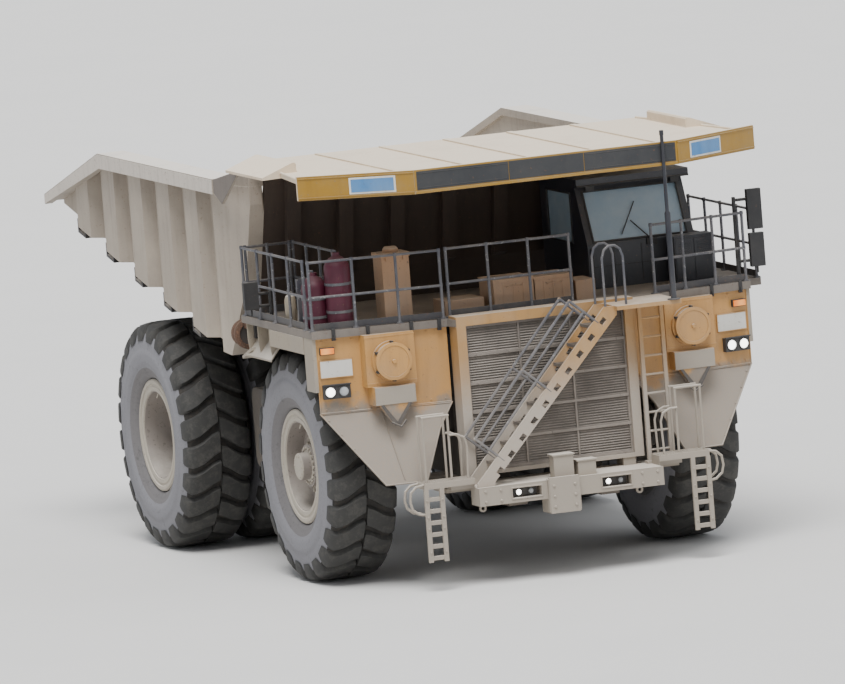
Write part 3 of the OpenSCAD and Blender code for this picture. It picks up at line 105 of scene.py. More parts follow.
def feed(tree: bpy.types.NodeTree, node: bpy.types.Node, inputs: dict) -> None:
    """Gives each named or numbered input of a node its constant, or links a socket to it."""
    for key, value in inputs.items():
        if isinstance(value, Socket):
            tree.links.new(value, node.inputs[key])
        else:
            node.inputs[key].default_value = value


def add(tree: bpy.types.NodeTree, kind: str, inputs: dict | None = None,
        **settings: object) -> bpy.types.Node:
    """Adds one node with its settings and links.

    Args:
        tree: The material's node tree.
        kind: Blender's name of the node.
        inputs: Sockets by name or number, each given a constant or a socket to link.
        settings: The node's own properties.

    Returns:
        The new node.
    """
    node = tree.nodes.new(kind)
    for key, value in settings.items():
        setattr(node, key, value)
    feed(tree, node, inputs or {})
    return node


class Painter:
    """Adds one material's nodes in front of its shader."""

    def __init__(self, tree: bpy.types.NodeTree) -> None:
        """Starts the tree with shader, output and coordinates."""
        self.tree = tree
        self.shader = add(tree, "ShaderNodeBsdfPrincipled")
        add(tree, "ShaderNodeOutputMaterial", {0: self.shader.outputs[0]})
        self.place = add(tree, "ShaderNodeTexCoord")
        self.where = self.place.outputs["Object"]

    def set(self, **inputs: Socket | float) -> None:
        """Sets or links the shader's inputs, spelt with underscores for spaces."""
        feed(self.tree, self.shader, {k.replace("_", " "): v for k, v in inputs.items()})

    def noise(self, size_mm: float, detail: float, rough: float = 0.5,
              where: Socket | None = None) -> Socket:
        """Adds a noise texture.

        Args:
            size_mm: Width of its features, in a space of metres.
            detail: How many finer layers it has.
            rough: How much the finer layers weigh.
            where: Coordinates, or None for the piece's own.

        Returns:
            The noise, about 0.5 on average.
        """
        return add(self.tree, "ShaderNodeTexNoise", {
            "Vector": self.where if where is None else where, "Scale": 1000 / size_mm,
            "Detail": detail, "Roughness": rough}).outputs[0]

    def ramp(self, value: Socket, to: Flat, given: Flat = (0.0, 1.0),
             kind: str = "LINEAR") -> Socket:
        """Maps a range of values to another.

        Args:
            value: Value to map.
            to: What the ends of the range become.
            given: Ends of the value's range, outside which the result is held.
            kind: Interpolation between the ends.

        Returns:
            The mapped value.
        """
        return add(self.tree, "ShaderNodeMapRange", {
            "Value": value, "From Min": given[0], "From Max": given[1], "To Min": to[0],
            "To Max": to[1]}, interpolation_type=kind).outputs[0]

    def calc(self, operation: str, *values: Socket | float, clamp: bool = False) -> Socket:
        """Combines values by one of the Math node's operations."""
        return add(self.tree, "ShaderNodeMath", dict(enumerate(values)),
                   operation=operation, use_clamp=clamp).outputs[0]

    def mix(self, share: Socket, first: Socket | str, second: Socket | str) -> Socket:
        """Mixes two colours, each a socket or an sRGB hex code."""
        one, two = (c if isinstance(c, Socket) else linear(c) for c in (first, second))
        return add(self.tree, "ShaderNodeMix", {0: share, 6: one, 7: two},
                   data_type="RGBA").outputs[2]

    def upright(self, vector: Socket) -> Socket:
        """Takes the Z share of a vector."""
        return add(self.tree, "ShaderNodeSeparateXYZ", {"Vector": vector}).outputs["Z"]

    def relief(self, height: Socket, strength: float, depth_mm: float) -> None:
        """Puts a bump into the shader's normal."""
        self.set(Normal=add(self.tree, "ShaderNodeBump", {
            "Height": height, "Strength": strength,
            "Distance": depth_mm / 1000}).outputs[0])


# Finishes


class Finish:
    """A named surface that is made into one material the first time it is used."""

    name: str
    made: dict[str, bpy.types.Material] = {}

    def material(self) -> bpy.types.Material:
        """Returns the finish's material, built on first use."""
        if self.name not in Finish.made:
            mat = bpy.data.materials.new(self.name)
            mat.use_nodes = True
            mat.node_tree.nodes.clear()
            self.paint(Painter(mat.node_tree))
            Finish.made[self.name] = mat
        return Finish.made[self.name]

    def paint(self, nodes: Painter) -> None:
        """Adds the finish's nodes in front of the shader."""
        raise NotImplementedError


@dataclass(frozen=True)
class DustyCoat(Finish):
    """A paint or plate under dust that thickens downwards and on upward faces, with a painted
    highlight there.
    """

    name: str
    base: str
    shade: str
    dust: str
    # Dust colour on upward faces, paler than the dust elsewhere as a painted highlight of light from
    # above
    top: str = "#c9c1b5"
    clean_z: float = 3.4
    dusty_z: float = 1.6
    low_dust: float = 0.7
    up_dust: float = 0.75
    patch_dust: float = 0.35
    streak: float = 0.35
    chip: str = "#5a4030"
    chip_amount: float = 0.06
    rough: float = 0.5
    dusty_rough: float = 0.9
    metallic: float = 0.0
    patch_mm: float = 700.0
    grain_mm: float = 45.0
    run_mm: float = 110.0
    bump_mm: float = 2.0
    edge_wave: float = 1.3

    def paint(self, nodes: Painter) -> None:
        """Mixes base colour, streaks, chips and dust, and roughens what is dusty."""
        patch = nodes.noise(self.patch_mm, 6.0, 0.62)
        grain = nodes.noise(self.grain_mm, 3.0, 0.6)
        # Runs of rain and washed dust, eleven times as long as wide
        tall = add(nodes.tree, "ShaderNodeMapping", {
            "Vector": nodes.where, "Scale": (1.0, 1.0, 0.09)}).outputs[0]
        run = nodes.ramp(nodes.noise(self.run_mm, 4.0, 0.55, tall), (0.0, self.streak),
                         (0.48, 0.75))
        # Dust that thickens towards the ground, with an uneven edge
        height = nodes.calc("MULTIPLY_ADD", patch, self.edge_wave, nodes.upright(nodes.where))
        middle = self.edge_wave / 2
        low = nodes.ramp(height, (self.low_dust, 0.0),
                         (self.dusty_z + middle, self.clean_z + middle), "SMOOTHSTEP")
        # Faces gather it that look up by more than 15 degrees, and all of it from 53
        up = nodes.ramp(nodes.upright(nodes.place.outputs["Normal"]), (0.0, self.up_dust),
                        (0.25, 0.80))
        # Patches of it cover the upper half of the noise
        blown = nodes.ramp(patch, (0.0, self.patch_dust), (0.42, 0.68))
        film = nodes.calc("ADD", nodes.calc("MAXIMUM", low, up), blown, clamp=True)
        speck = nodes.calc("MULTIPLY_ADD", grain, 0.5, 0.75)
        dust = nodes.calc("MULTIPLY", film, speck, clamp=True)
        # Chips are the grain's peaks
        chipped = nodes.ramp(grain, (0.0, 0.8),
                             (0.66 - self.chip_amount, 0.70 - self.chip_amount))
        worn = nodes.mix(chipped, nodes.mix(run, self.base, self.shade), self.chip)
        # Upward faces take the paler top colour: dust, and a painted highlight of light from above
        lying_dust_and_highlight = nodes.mix(up, self.dust, self.top)
        nodes.set(Base_Color=nodes.mix(dust, worn, lying_dust_and_highlight),
                  Roughness=nodes.ramp(dust, (self.rough, self.dusty_rough)))
        if self.metallic:
            nodes.set(Metallic=nodes.ramp(dust, (self.metallic, 0.0)))
        nodes.relief(grain, 0.6, self.bump_mm)


@dataclass(frozen=True)
class MouldedRubber(Finish):
    """Vulcanised tyre rubber, matt, with dust rubbed into it."""

    name: str
    base: str
    dust: str
    dusty: float
    scuff_mm: float = 160.0
    grain_mm: float = 40.0

    def paint(self, nodes: Painter) -> None:
        """Mixes rubber and dust by scuffs and grain, and roughens both."""
        scuff = nodes.noise(self.scuff_mm, 8.0, 0.7)
        film = nodes.ramp(scuff, (self.dusty * 0.35, min(1.0, self.dusty * 1.3)),
                          (0.62 - 0.5 * self.dusty, 0.80 - 0.4 * self.dusty), "SMOOTHSTEP")
        speck = nodes.calc("MULTIPLY_ADD", nodes.noise(self.grain_mm, 2.0), 0.7, 0.65)
        dust = nodes.calc("MULTIPLY", film, speck, clamp=True)
        nodes.set(Base_Color=nodes.mix(dust, self.base, self.dust),
                  Roughness=nodes.ramp(dust, (0.72, 0.95)), IOR=1.52)
        nodes.relief(scuff, 0.5, 6.0)


@dataclass(frozen=True)
class LaminatedGlass(Finish):
    """Tinted pane under a thin film of dust that the wipers leave uneven."""

    name: str
    tint: str
    film: str
    clear: float = 0.62

    def paint(self, nodes: Painter) -> None:
        """Sets a smooth tinted pane and dulls it by patches of dust."""
        patch = nodes.noise(420, 5.0, 0.65)
        film = nodes.ramp(patch, (0.05, 0.55), (0.35, 0.75))
        nodes.set(Base_Color=nodes.mix(film, self.tint, self.film),
                  Roughness=nodes.ramp(film, (0.04, 0.4)), Transmission_Weight=self.clear,
                  IOR=1.5)
        nodes.relief(patch, 0.1, 0.5)


@dataclass(frozen=True)
class LitLens(Finish):
    """Ribbed lens of a lamp, with the light behind it."""

    name: str
    tint: str
    glow: float
    rib: str = "#fffdf6"
    rib_mm: float = 40.0

    def paint(self, nodes: Painter) -> None:
        """Lights the lens and puts its ribs into the bump."""
        # The texture counts 20 radians to a unit, so ribs repeat after 2 pi times rib_mm
        ribs = add(nodes.tree, "ShaderNodeTexWave", {
            "Vector": nodes.where, "Scale": 1000 / self.rib_mm / 20, "Distortion": 0.4},
            bands_direction="Y").outputs[1]
        tone = nodes.mix(ribs, self.tint, self.rib)
        nodes.set(Base_Color=tone, Emission_Color=tone, Emission_Strength=self.glow,
                  Roughness=0.18, IOR=1.58)
        nodes.relief(ribs, 0.4, 3.0)


@dataclass(frozen=True)
class PolishedSteel(Finish):
    """Bright metal, of a chromed rod or a mirror's silver, under a film of oil and dust."""

    name: str
    base: str
    dust: str

    def paint(self, nodes: Painter) -> None:
        """Makes bright metal that patches of dust dull."""
        patch = nodes.noise(90, 5.0)
        film = nodes.ramp(patch, (0.1, 0.6), (0.45, 0.7))
        nodes.set(Base_Color=nodes.mix(film, self.base, self.dust),
                  Metallic=nodes.calc("SUBTRACT", 1.0, film),
                  Roughness=nodes.ramp(film, (0.18, 0.7)))
        nodes.relief(patch, 0.3, 1.0)


@dataclass(frozen=True)
class StudioSweep(Finish):
    """Plain pale floor."""

    name: str
    base: str
    other: str

    def paint(self, nodes: Painter) -> None:
        """Gives the floor one pale tone with a trace of unevenness."""
        patch = nodes.noise(3000, 3.0)
        nodes.set(Base_Color=nodes.mix(patch, self.base, self.other), Roughness=0.85)
        nodes.relief(patch, 0.1, 2.0)


# Alkyd enamel sprayed on steel plate: warm ochre that the sun has faded, satin,
# dulled by pale dust that hides it below the fenders' knee
OCHRE = DustyCoat("alkyd_enamel_sprayed_ochre", "#b88a4e", "#926a3c", "#867c71",
                  clean_z=2.97, dusty_z=2.72, low_dust=1.0, up_dust=0.6, patch_dust=0.25,
                  chip="#86603c", chip_amount=0.0, rough=0.46, grain_mm=32)
# The same enamel on the frame and stairway, where the dust fades out over a metre
OCHRE_FADED = DustyCoat("alkyd_enamel_sprayed_ochre_faded", "#a67f4c", "#806040", "#a69c90",
                        clean_z=3.62, dusty_z=2.35, low_dust=1.0, up_dust=0.6,
                        patch_dust=0.3, chip="#86603c", chip_amount=0.0, rough=0.5,
                        grain_mm=32)
# The same enamel low on the truck: nearly hidden, a pale beige with some warmth left
PALE_ENAMEL = DustyCoat("alkyd_enamel_sprayed_dusted", "#9a8e79", "#80725f", "#988f83",
                        clean_z=5.0, dusty_z=2.4, low_dust=0.9, up_dust=0.9,
                        patch_dust=0.6, chip_amount=0.02, rough=0.6)
# Hot-rolled wear plate, welded and scoured by rock: grey-beige, matt, with upright runs
BODY_PLATE = DustyCoat("hot_rolled_wear_plate_scoured", "#948a7e", "#766c62", "#ada294", "#ece5da",
                       clean_z=7.5, dusty_z=3.0, low_dust=0.55, up_dust=0.9,
                       patch_dust=0.6, streak=0.7, chip="#6a5746", chip_amount=0.02,
                       rough=0.62, patch_mm=1100)
# The same plate darkened to a soot-brown as painted shade of the canopy, with little light on it
SHADED_PLATE = DustyCoat("hot_rolled_wear_plate_painted_shade", "#3b3029", "#27201c", "#5d4e41", "#6b5c4e",
                         clean_z=5.6, dusty_z=3.4, low_dust=0.3, up_dust=0.35,
                         patch_dust=0.2, chip_amount=0.0, rough=0.7, patch_mm=900)
# The body's top edge, paled to a warm grey as a painted highlight of light from above
PAINTED_HIGHLIGHT_PLATE = DustyCoat("hot_rolled_plate_painted_highlight", "#c4bbb0", "#a0968b", "#c9c0b5", "#efe8dd",
                         clean_z=7.5, dusty_z=5.0, low_dust=0.3, up_dust=0.9,
                         patch_dust=0.4, streak=0.8, chip="#8b7c6c", chip_amount=0.04,
                         rough=0.6, patch_mm=700)
# Plate under the canopy's wing, darkened to a dull mid grey as painted shade of the wing
PAINTED_SHADE_BOARD = DustyCoat("hot_rolled_plate_painted_shade", "#655d57", "#4b4540", "#877e75", "#a59c90",
                        clean_z=7.0, dusty_z=5.0, low_dust=0.2, up_dust=0.6,
                        patch_dust=0.3, chip_amount=0.02, rough=0.65)
# Canopy top: plate with dry earth on it, a warm sandy beige
CANOPY_PLATE = DustyCoat("hot_rolled_plate_earth_covered", "#c2ab90", "#a38d72", "#d9c9b2",
                         top="#ebdcc5",
                         clean_z=9.0, dusty_z=6.0, low_dust=0.5, up_dust=0.9,
                         patch_dust=0.6, chip_amount=0.03, rough=0.7, patch_mm=800)
# Rolled section in dark primer: charcoal, satin under dried mud
DARK_STEEL = DustyCoat("rolled_section_steel_primed", "#343336", "#272629", "#857b6e",
                       clean_z=4.2, dusty_z=0.8, low_dust=0.5, up_dust=0.55,
                       patch_dust=0.25, chip_amount=0.02, rough=0.55)
# Cab steel in gloss enamel that dust has dulled: blue-black
CAB_ENAMEL = DustyCoat("sheet_steel_enamelled_dark", "#20222a", "#17181f", "#6b6a69", "#8a8780",
                       clean_z=5.2, dusty_z=3.2, low_dust=0.25, up_dust=0.45,
                       patch_dust=0.12, streak=0.2, rough=0.32, chip_amount=0.0)
# Tube rails, galvanised and painted dark grey: small pale worn spots
RAIL_TUBE = DustyCoat("drawn_tube_painted_grey", "#47484f", "#36373c", "#8d8780", "#9c968e",
                      clean_z=5.0, dusty_z=2.0, low_dust=0.4, up_dust=0.35,
                      patch_dust=0.3, chip="#8a8a8a", chip_amount=0.04, rough=0.45,
                      patch_mm=350)
# Deck plate, walked bare: grey-brown with dust in its corners
DECK_PLATE = DustyCoat("rolled_tread_plate_walked", "#6a635d", "#524c47", "#8e857a", "#9a9186",
                       clean_z=6.0, dusty_z=3.0, low_dust=0.25, up_dust=0.4,
                       patch_dust=0.4, chip_amount=0.03, rough=0.6, metallic=0.3)
# Boxes on the deck in the canopy's shade: the ochre turned tan under settled dust
BOX_ENAMEL = DustyCoat("sheet_steel_enamelled_tan", "#a17b58", "#7e6045", "#978676", "#a99988",
                       clean_z=5.4, dusty_z=3.9, low_dust=0.45, up_dust=0.7,
                       patch_dust=0.4, chip="#5d4630", chip_amount=0.03, rough=0.6)
# Pressure bottles in powder coat: a deep maroon, satin
MAROON = DustyCoat("steel_bottle_powder_coated", "#4b1026", "#370b1c", "#5d4248", "#7a6264",
                   clean_z=4.4, dusty_z=3.7, low_dust=0.3, up_dust=0.35,
                   patch_dust=0.02, chip_amount=0.0, rough=0.5)
# Exhaust plate without paint: scale and rust from red-brown to dark brown
RUSTY = DustyCoat("mild_steel_rusted", "#54382a", "#33251e", "#7d6a59", "#8c7967",
                  clean_z=4.4, dusty_z=3.0, low_dust=0.3, up_dust=0.3, patch_dust=0.25,
                  streak=0.7, chip="#75503a", chip_amount=0.10, rough=0.85,
                  patch_mm=220, grain_mm=30, bump_mm=4)
# Cast steel wheel parts in beige paint: brown-grey in the dish from ground-in dirt and painted shade
RIM_STEEL_DIRT_AND_SHADE = DustyCoat("cast_steel_painted_tan_dirt_and_shade", "#8a8179", "#6b635b", "#989089",
                      clean_z=3.4, dusty_z=0.6, low_dust=0.5, up_dust=0.6,
                      patch_dust=0.4, chip="#4c4238", chip_amount=0.05, patch_mm=260)
# Rolled rim rings in the same beige paint, paler than the dish as a painted highlight
RIM_RING_HIGHLIGHT = DustyCoat("rolled_ring_painted_tan_highlight", "#a29a8c", "#7f776a", "#b0a799",
                     clean_z=3.4, dusty_z=0.6, low_dust=0.55, up_dust=0.6,
                     patch_dust=0.45, chip="#6a6054", chip_amount=0.03, patch_mm=260)
# Forged and machined running gear under grease and dust: grey-brown
FORGED = DustyCoat("forged_steel_greasy", "#55514b", "#3a3733", "#877d70",
                   clean_z=4.0, dusty_z=0.9, low_dust=0.45, up_dust=0.6,
                   patch_dust=0.3, rough=0.42, metallic=0.5)
# Pressed aluminium louvres darkened to a dark grey as painted shade of the deck above; pale dust
# lies on the lower blades
LOUVRE = DustyCoat("sheet_aluminium_pressed_painted_shade", "#5f5852", "#4d4742", "#938a81", "#a89e93",
                   clean_z=4.3, dusty_z=1.9, low_dust=0.7, up_dust=0.5,
                   patch_dust=0.45, chip_amount=0.0, rough=0.55, metallic=0.15)
# Black radiator core of brazed fins: dust has filled it to a dark grey-brown
CORE = DustyCoat("brazed_fins_black", "#403b38", "#2f2b29", "#776d63", "#80766c",
                 clean_z=4.2, dusty_z=1.5, low_dust=0.5, up_dust=0.3, patch_dust=0.25,
                 chip_amount=0.0, rough=0.8)
# Sign enamel: strong yellow of the canopy's band, streaked by rain
SIGN_YELLOW = DustyCoat("sign_enamel_yellow", "#946f19", "#7a5a17", "#8f826a",
                        clean_z=6.2, dusty_z=5.2, low_dust=0.3, up_dust=0.6,
                        patch_dust=0.25, chip="#7b6a4c", chip_amount=0.02, rough=0.4)
# Sign enamel: mid blue of the blank number plates
SIGN_BLUE = DustyCoat("sign_enamel_blue", "#3f78ac", "#34638f", "#a9a79f",
                      clean_z=6.2, dusty_z=5.2, low_dust=0.2, up_dust=0.5,
                      patch_dust=0.2, chip_amount=0.0, rough=0.35)
# Sign enamel: off-white of the blank plates
SIGN_WHITE = DustyCoat("sign_enamel_white", "#cfcec8", "#b3b0a8", "#b7ac9c",
                       clean_z=4.0, dusty_z=2.4, low_dust=0.3, up_dust=0.5,
                       patch_dust=0.3, chip_amount=0.0, rough=0.35)
# Rubber sheet panels of the band: charcoal, matt
SIGN_CHARCOAL = DustyCoat("rubber_sheet_charcoal", "#2c2e31", "#212326", "#6f6a63", "#8a847b",
                          clean_z=6.2, dusty_z=5.2, low_dust=0.2, up_dust=0.4,
                          patch_dust=0.12, streak=0.3, chip_amount=0.0, rough=0.7)
# Moulded black plastic and rubber of trim and seats
BLACK_TRIM = DustyCoat("polypropylene_moulded_black", "#202022", "#161618", "#5f5b56", "#77736d",
                       clean_z=5.2, dusty_z=1.5, low_dust=0.35, up_dust=0.4,
                       patch_dust=0.2, rough=0.6, chip_amount=0.0)
# Tyre sidewall: worn smooth and whitened by dry dust, a light lavender grey
SIDEWALL = MouldedRubber("tyre_rubber_sidewall_dusted", "#4a4949", "#7e7d81", 0.86)
# Tyre tread: dark brown-grey, dust only in its scuffs
TREAD = MouldedRubber("tyre_rubber_tread_worn", "#2a2a29", "#57544f", 0.36)
# Groove bottoms between the lugs, and the bead: nearly black as painted shade in these recesses,
# with a trace of earth
GROOVE = MouldedRubber("tyre_rubber_groove_painted_shade", "#1b1a19", "#453f38", 0.4)
# Sidewall next to the bead: darker than the belly
BEAD = MouldedRubber("tyre_rubber_bead_darker", "#424040", "#6e6b6b", 0.8)
# Laminated screen glass: blue-grey, paled all over as a painted reflection of the sky
PANE_PAINTED_SKY = LaminatedGlass("screen_glass_painted_sky_reflection", "#9db3c4", "#b9c5cd", clear=0.3)
# Mirror: silvered float glass
MIRROR = PolishedSteel("float_glass_silvered", "#c9ced1", "#8f8d88")
# Hoist rod: hard chrome, ground
CHROME = PolishedSteel("steel_rod_hard_chromed", "#c4c6c8", "#857b6d")
# Headlamp lens, lit: near white
LENS_LIT = LitLens("polycarbonate_lens_lit", "#f4f2ea", 5.0)
# Headlamp lens, dark: grey glass
LENS_DARK = LitLens("polycarbonate_lens_dark", "#85888a", 0.05, "#a9acad")
# Turn lamp lens: orange
LENS_ORANGE = LitLens("acrylic_lens_orange", "#dd7418", 0.5, "#eb9a4c")
# Tail lamp lens: red
LENS_RED = LitLens("acrylic_lens_red", "#a3161c", 0.3, "#c43a34")
# Painted studio floor, matt and pale
FLOOR = StudioSweep("studio_floor_painted", "#deddda", "#e4e2df")


# Shapes


def axes(axis: Point) -> tuple[Vector, Vector, Vector]:
    """Turns an axis to length 1 and adds two directions square to it."""
    up = Vector(axis).normalized()
    seed = Vector(Z_AXIS) if abs(up.z) < 0.9 else Vector(X_AXIS)
    right = up.cross(seed).normalized()
    return up, right, up.cross(right)


@dataclass
class Shape:
    """Faces of one piece, in metres in the truck's frame, before they become a mesh."""

    verts: list[Vector] = field(default_factory=list)
    faces: list[tuple[int, ...]] = field(default_factory=list)
    marks: list[int] = field(default_factory=list)
    mark: int = 0
    place: Matrix = field(default_factory=lambda: Matrix.Identity(4))

    def put(self, points: Iterable[Sequence[float]], faces: Iterable[Sequence[int]]) -> None:
        """Adds points and faces at the current place, with the current finish.

        Args:
            points: Corners in the local frame.
            faces: Corner numbers of each face, counted from the first of the points.
        """
        start = len(self.verts)
        self.verts += [self.place @ Vector(p) for p in points]
        mirrored = self.place.determinant() < 0
        for f in faces:
            ring = tuple(start + i for i in f)
            self.faces.append(ring[::-1] if mirrored else ring)
            self.marks.append(self.mark)

    def block(self, low: Point, high: Point) -> None:
        """Adds a block between two corners."""
        (a, b, c), (d, e, f) = low, high
        self.put([(a, b, c), (d, b, c), (d, e, c), (a, e, c),
                  (a, b, f), (d, b, f), (d, e, f), (a, e, f)],
                 [(0, 3, 2, 1), (4, 5, 6, 7), (0, 1, 5, 4), (1, 2, 6, 5),
                  (2, 3, 7, 6), (3, 0, 4, 7)])

    def prism(self, outline: Sequence[Flat], low: float, high: float, axis: str) -> None:
        """Adds an outline extruded along an axis.

        Args:
            outline: Corners, as pairs of Y and Z for the axis "x" or of Z and X for "y",
                counter-clockwise.
            low: Start along the axis.
            high: End along the axis.
            axis: "x" or "y".
        """
        n = len(outline)
        self.put([(h, p, q) if axis == "x" else (q, h, p) for h in (low, high)
                  for p, q in outline],
                 [tuple(range(n))[::-1], tuple(range(n, 2 * n))]
                 + [(i, (i + 1) % n, n + (i + 1) % n, n + i) for i in range(n)])

    def loft(self, rings: Sequence[Sequence[Sequence[float]]], closed: bool = False) -> None:
        """Joins rings of equally many points with faces.

        Args:
            rings: Rings, each a list of points in order.
            closed: Whether the last ring joins the first. The two end rings are filled if not.
        """
        n, m = len(rings[0]), len(rings)
        faces: list[tuple[int, ...]] = []
        for k in range(m if closed else m - 1):
            a, b = k * n, (k + 1) % m * n
            faces += [(a + i, a + (i + 1) % n, b + (i + 1) % n, b + i) for i in range(n)]
        if not closed:
            faces += [tuple(range(n))[::-1], tuple(range((m - 1) * n, m * n))]
        self.put([p for ring in rings for p in ring], faces)

    def tube(self, path: Sequence[Point], radius: float, sides: int = 10,
             closed: bool = False) -> None:
        """Adds a round tube along a path, mitred at its corners.

        Args:
            path: Points of the centre line.
            radius: Radius of the tube.
            sides: Faces round the tube.
            closed: Whether the path returns to its start.
        """
        pts = [Vector(p) for p in path]
        n = len(pts)
        rings = []
        normal: Vector | None = None
        for i, p in enumerate(pts):
            before = pts[i - 1] if i or closed else None
            after = pts[(i + 1) % n] if i < n - 1 or closed else None
            into = (p - before).normalized() if before is not None else None
            out = (after - p).normalized() if after is not None else None
            along = ((into or out) + (out or into)).normalized()
            if normal is None:
                seed = Vector(Z_AXIS) if abs(along.z) < 0.9 else Vector(Y_AXIS)
                normal = along.cross(seed).normalized()
            normal = (normal - along * normal.dot(along)).normalized()
            across = along.cross(normal)
            stretch = 1.0
            bend = None
            if into is not None and out is not None:
                # Mitres of very sharp bends are held short
                stretch = 1 / max(0.35, along.dot(into))
                bend = out - into
                bend = bend.normalized() if bend.length > 1e-6 else None
            ring = []
            for k in range(sides):
                a = 2 * math.pi * k / sides
                v = (normal * math.cos(a) + across * math.sin(a)) * radius
                if bend is not None:
                    v += bend * v.dot(bend) * (stretch - 1)
                ring.append(p + v)
            rings.append(ring)
        self.loft(rings, closed=closed)

    def lathe(self, profile: Sequence[Flat], centre: Point, axis: Point,
              steps: int = 48, closed: bool = False) -> None:
        """Turns a profile about an axis.

        Args:
            profile: Pairs of radius and height along the axis.
            centre: Point where the height is nought.
            axis: Direction of the axis.
            steps: Faces round the axis.
            closed: Whether the profile is a closed section clear of the axis.
        """
        up, right, ahead = axes(axis)
        origin = Vector(centre)
        points = []
        for k in range(steps):
            a = 2 * math.pi * k / steps
            out = right * math.cos(a) + ahead * math.sin(a)
            points += [origin + out * r + up * h for r, h in profile]
        n = len(profile)
        last = n if closed else n - 1
        faces: list[tuple[int, ...]] = []
        for k in range(steps):
            a, b = k * n, (k + 1) % steps * n
            faces += [(a + i, a + (i + 1) % n, b + (i + 1) % n, b + i) for i in range(last)]
        if not closed:
            faces += [tuple(k * n for k in range(steps)),
                      tuple(k * n + n - 1 for k in range(steps))[::-1]]
        self.put(points, faces)

    def nut(self, spot: Point, size: float, height: float, axis: Point = X_AXIS) -> None:
        """Adds a six-sided nut.

        Args:
            spot: Middle of the nut, on the face that carries it.
            size: Width over its corners.
            height: Height out of the face.
            axis: Direction out of the face.
        """
        self.lathe([(size / 2, -0.004), (size / 2, height * 0.8), (size * 0.36, height)],
                   spot, axis, steps=6)

    def nuts(self, centre: Point, axis: Point, ring_r: float, count: int, size: float,
             height: float) -> None:
        """Adds a ring of nuts.

        Args:
            centre: Centre of the ring, on the face that carries the nuts.
            axis: Direction out of that face.
            ring_r: Radius of the ring.
            count: How many nuts.
            size: Width of a nut over its corners.
            height: Height of a nut.
        """
        _, right, ahead = axes(axis)
        for k in range(count):
            a = 2 * math.pi * k / count
            spot = Vector(centre) + (right * math.cos(a) + ahead * math.sin(a)) * ring_r
            self.nut(tuple(spot), size, height, axis)


def make(name: str, shape: Shape, finishes: Sequence[Finish], body: str,
         stands_for: Sequence[str] = (), bevel: float = 0.0, crease: float = 32.0,
         turn: bool = True) -> bpy.types.Object:
    """Turns a shape into a piece of the scene.

    Args:
        name: Name of the piece.
        shape: Its faces.
        finishes: Finishes by the shape's marks.
        body: Body that it rides on.
        stands_for: CAD nodes that it replaces.
        bevel: Width of the rounded edges in metres, or nought.
        crease: Angle in degrees above which an edge stays sharp.
        turn: Whether the faces' directions are made to agree first.

    Returns:
        The new object.
    """
    mesh = bpy.data.meshes.new(name)
    mesh.from_pydata(shape.verts, [], shape.faces)
    for finish in finishes:
        mesh.materials.append(finish.material())
    mesh.polygons.foreach_set("material_index", shape.marks)
    mesh.polygons.foreach_set("use_smooth", [True] * len(shape.faces))
    if turn:
        work = bmesh.new()
        work.from_mesh(mesh)
        bmesh.ops.recalc_face_normals(work, faces=work.faces)
        work.to_mesh(mesh)
        work.free()
    mesh.set_sharp_from_angle(angle=math.radians(crease))
    mesh.validate()
    obj = bpy.data.objects.new(name, mesh)
    bpy.context.scene.collection.objects.link(obj)
    if bevel:
        edge = obj.modifiers.new("edges", "BEVEL")
        edge.width = bevel
        edge.segments = 2
        edge.limit_method = "ANGLE"
        edge.angle_limit = BEVEL_FROM
        edge.harden_normals = True
    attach(obj, body)
    if stands_for:
        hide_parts(*stands_for)
    LOG.info("%s on %s, %d faces", name, body, len(mesh.polygons))
    return obj


def sorted_ring(points: Sequence[Flat]) -> list[Flat]:
    """Orders the points of a convex ring by their angle about its middle."""
    cx = sum(p[0] for p in points) / len(points)
    cy = sum(p[1] for p in points) / len(points)
    return sorted(points, key=lambda p: math.atan2(p[1] - cy, p[0] - cx))


def mirror_y(side: Side) -> Matrix:
    """Matrix that keeps the left side or mirrors it to the right."""
    return Matrix.Diagonal((1, side.value, 1, 1))


def each_side(*shapes: Shape) -> Iterator[Side]:
    """Gives the two sides in turn, with the shapes' places mirrored to each."""
    for side in Side:
        for shape in shapes:
            shape.place = mirror_y(side)
        yield side


# Wheels


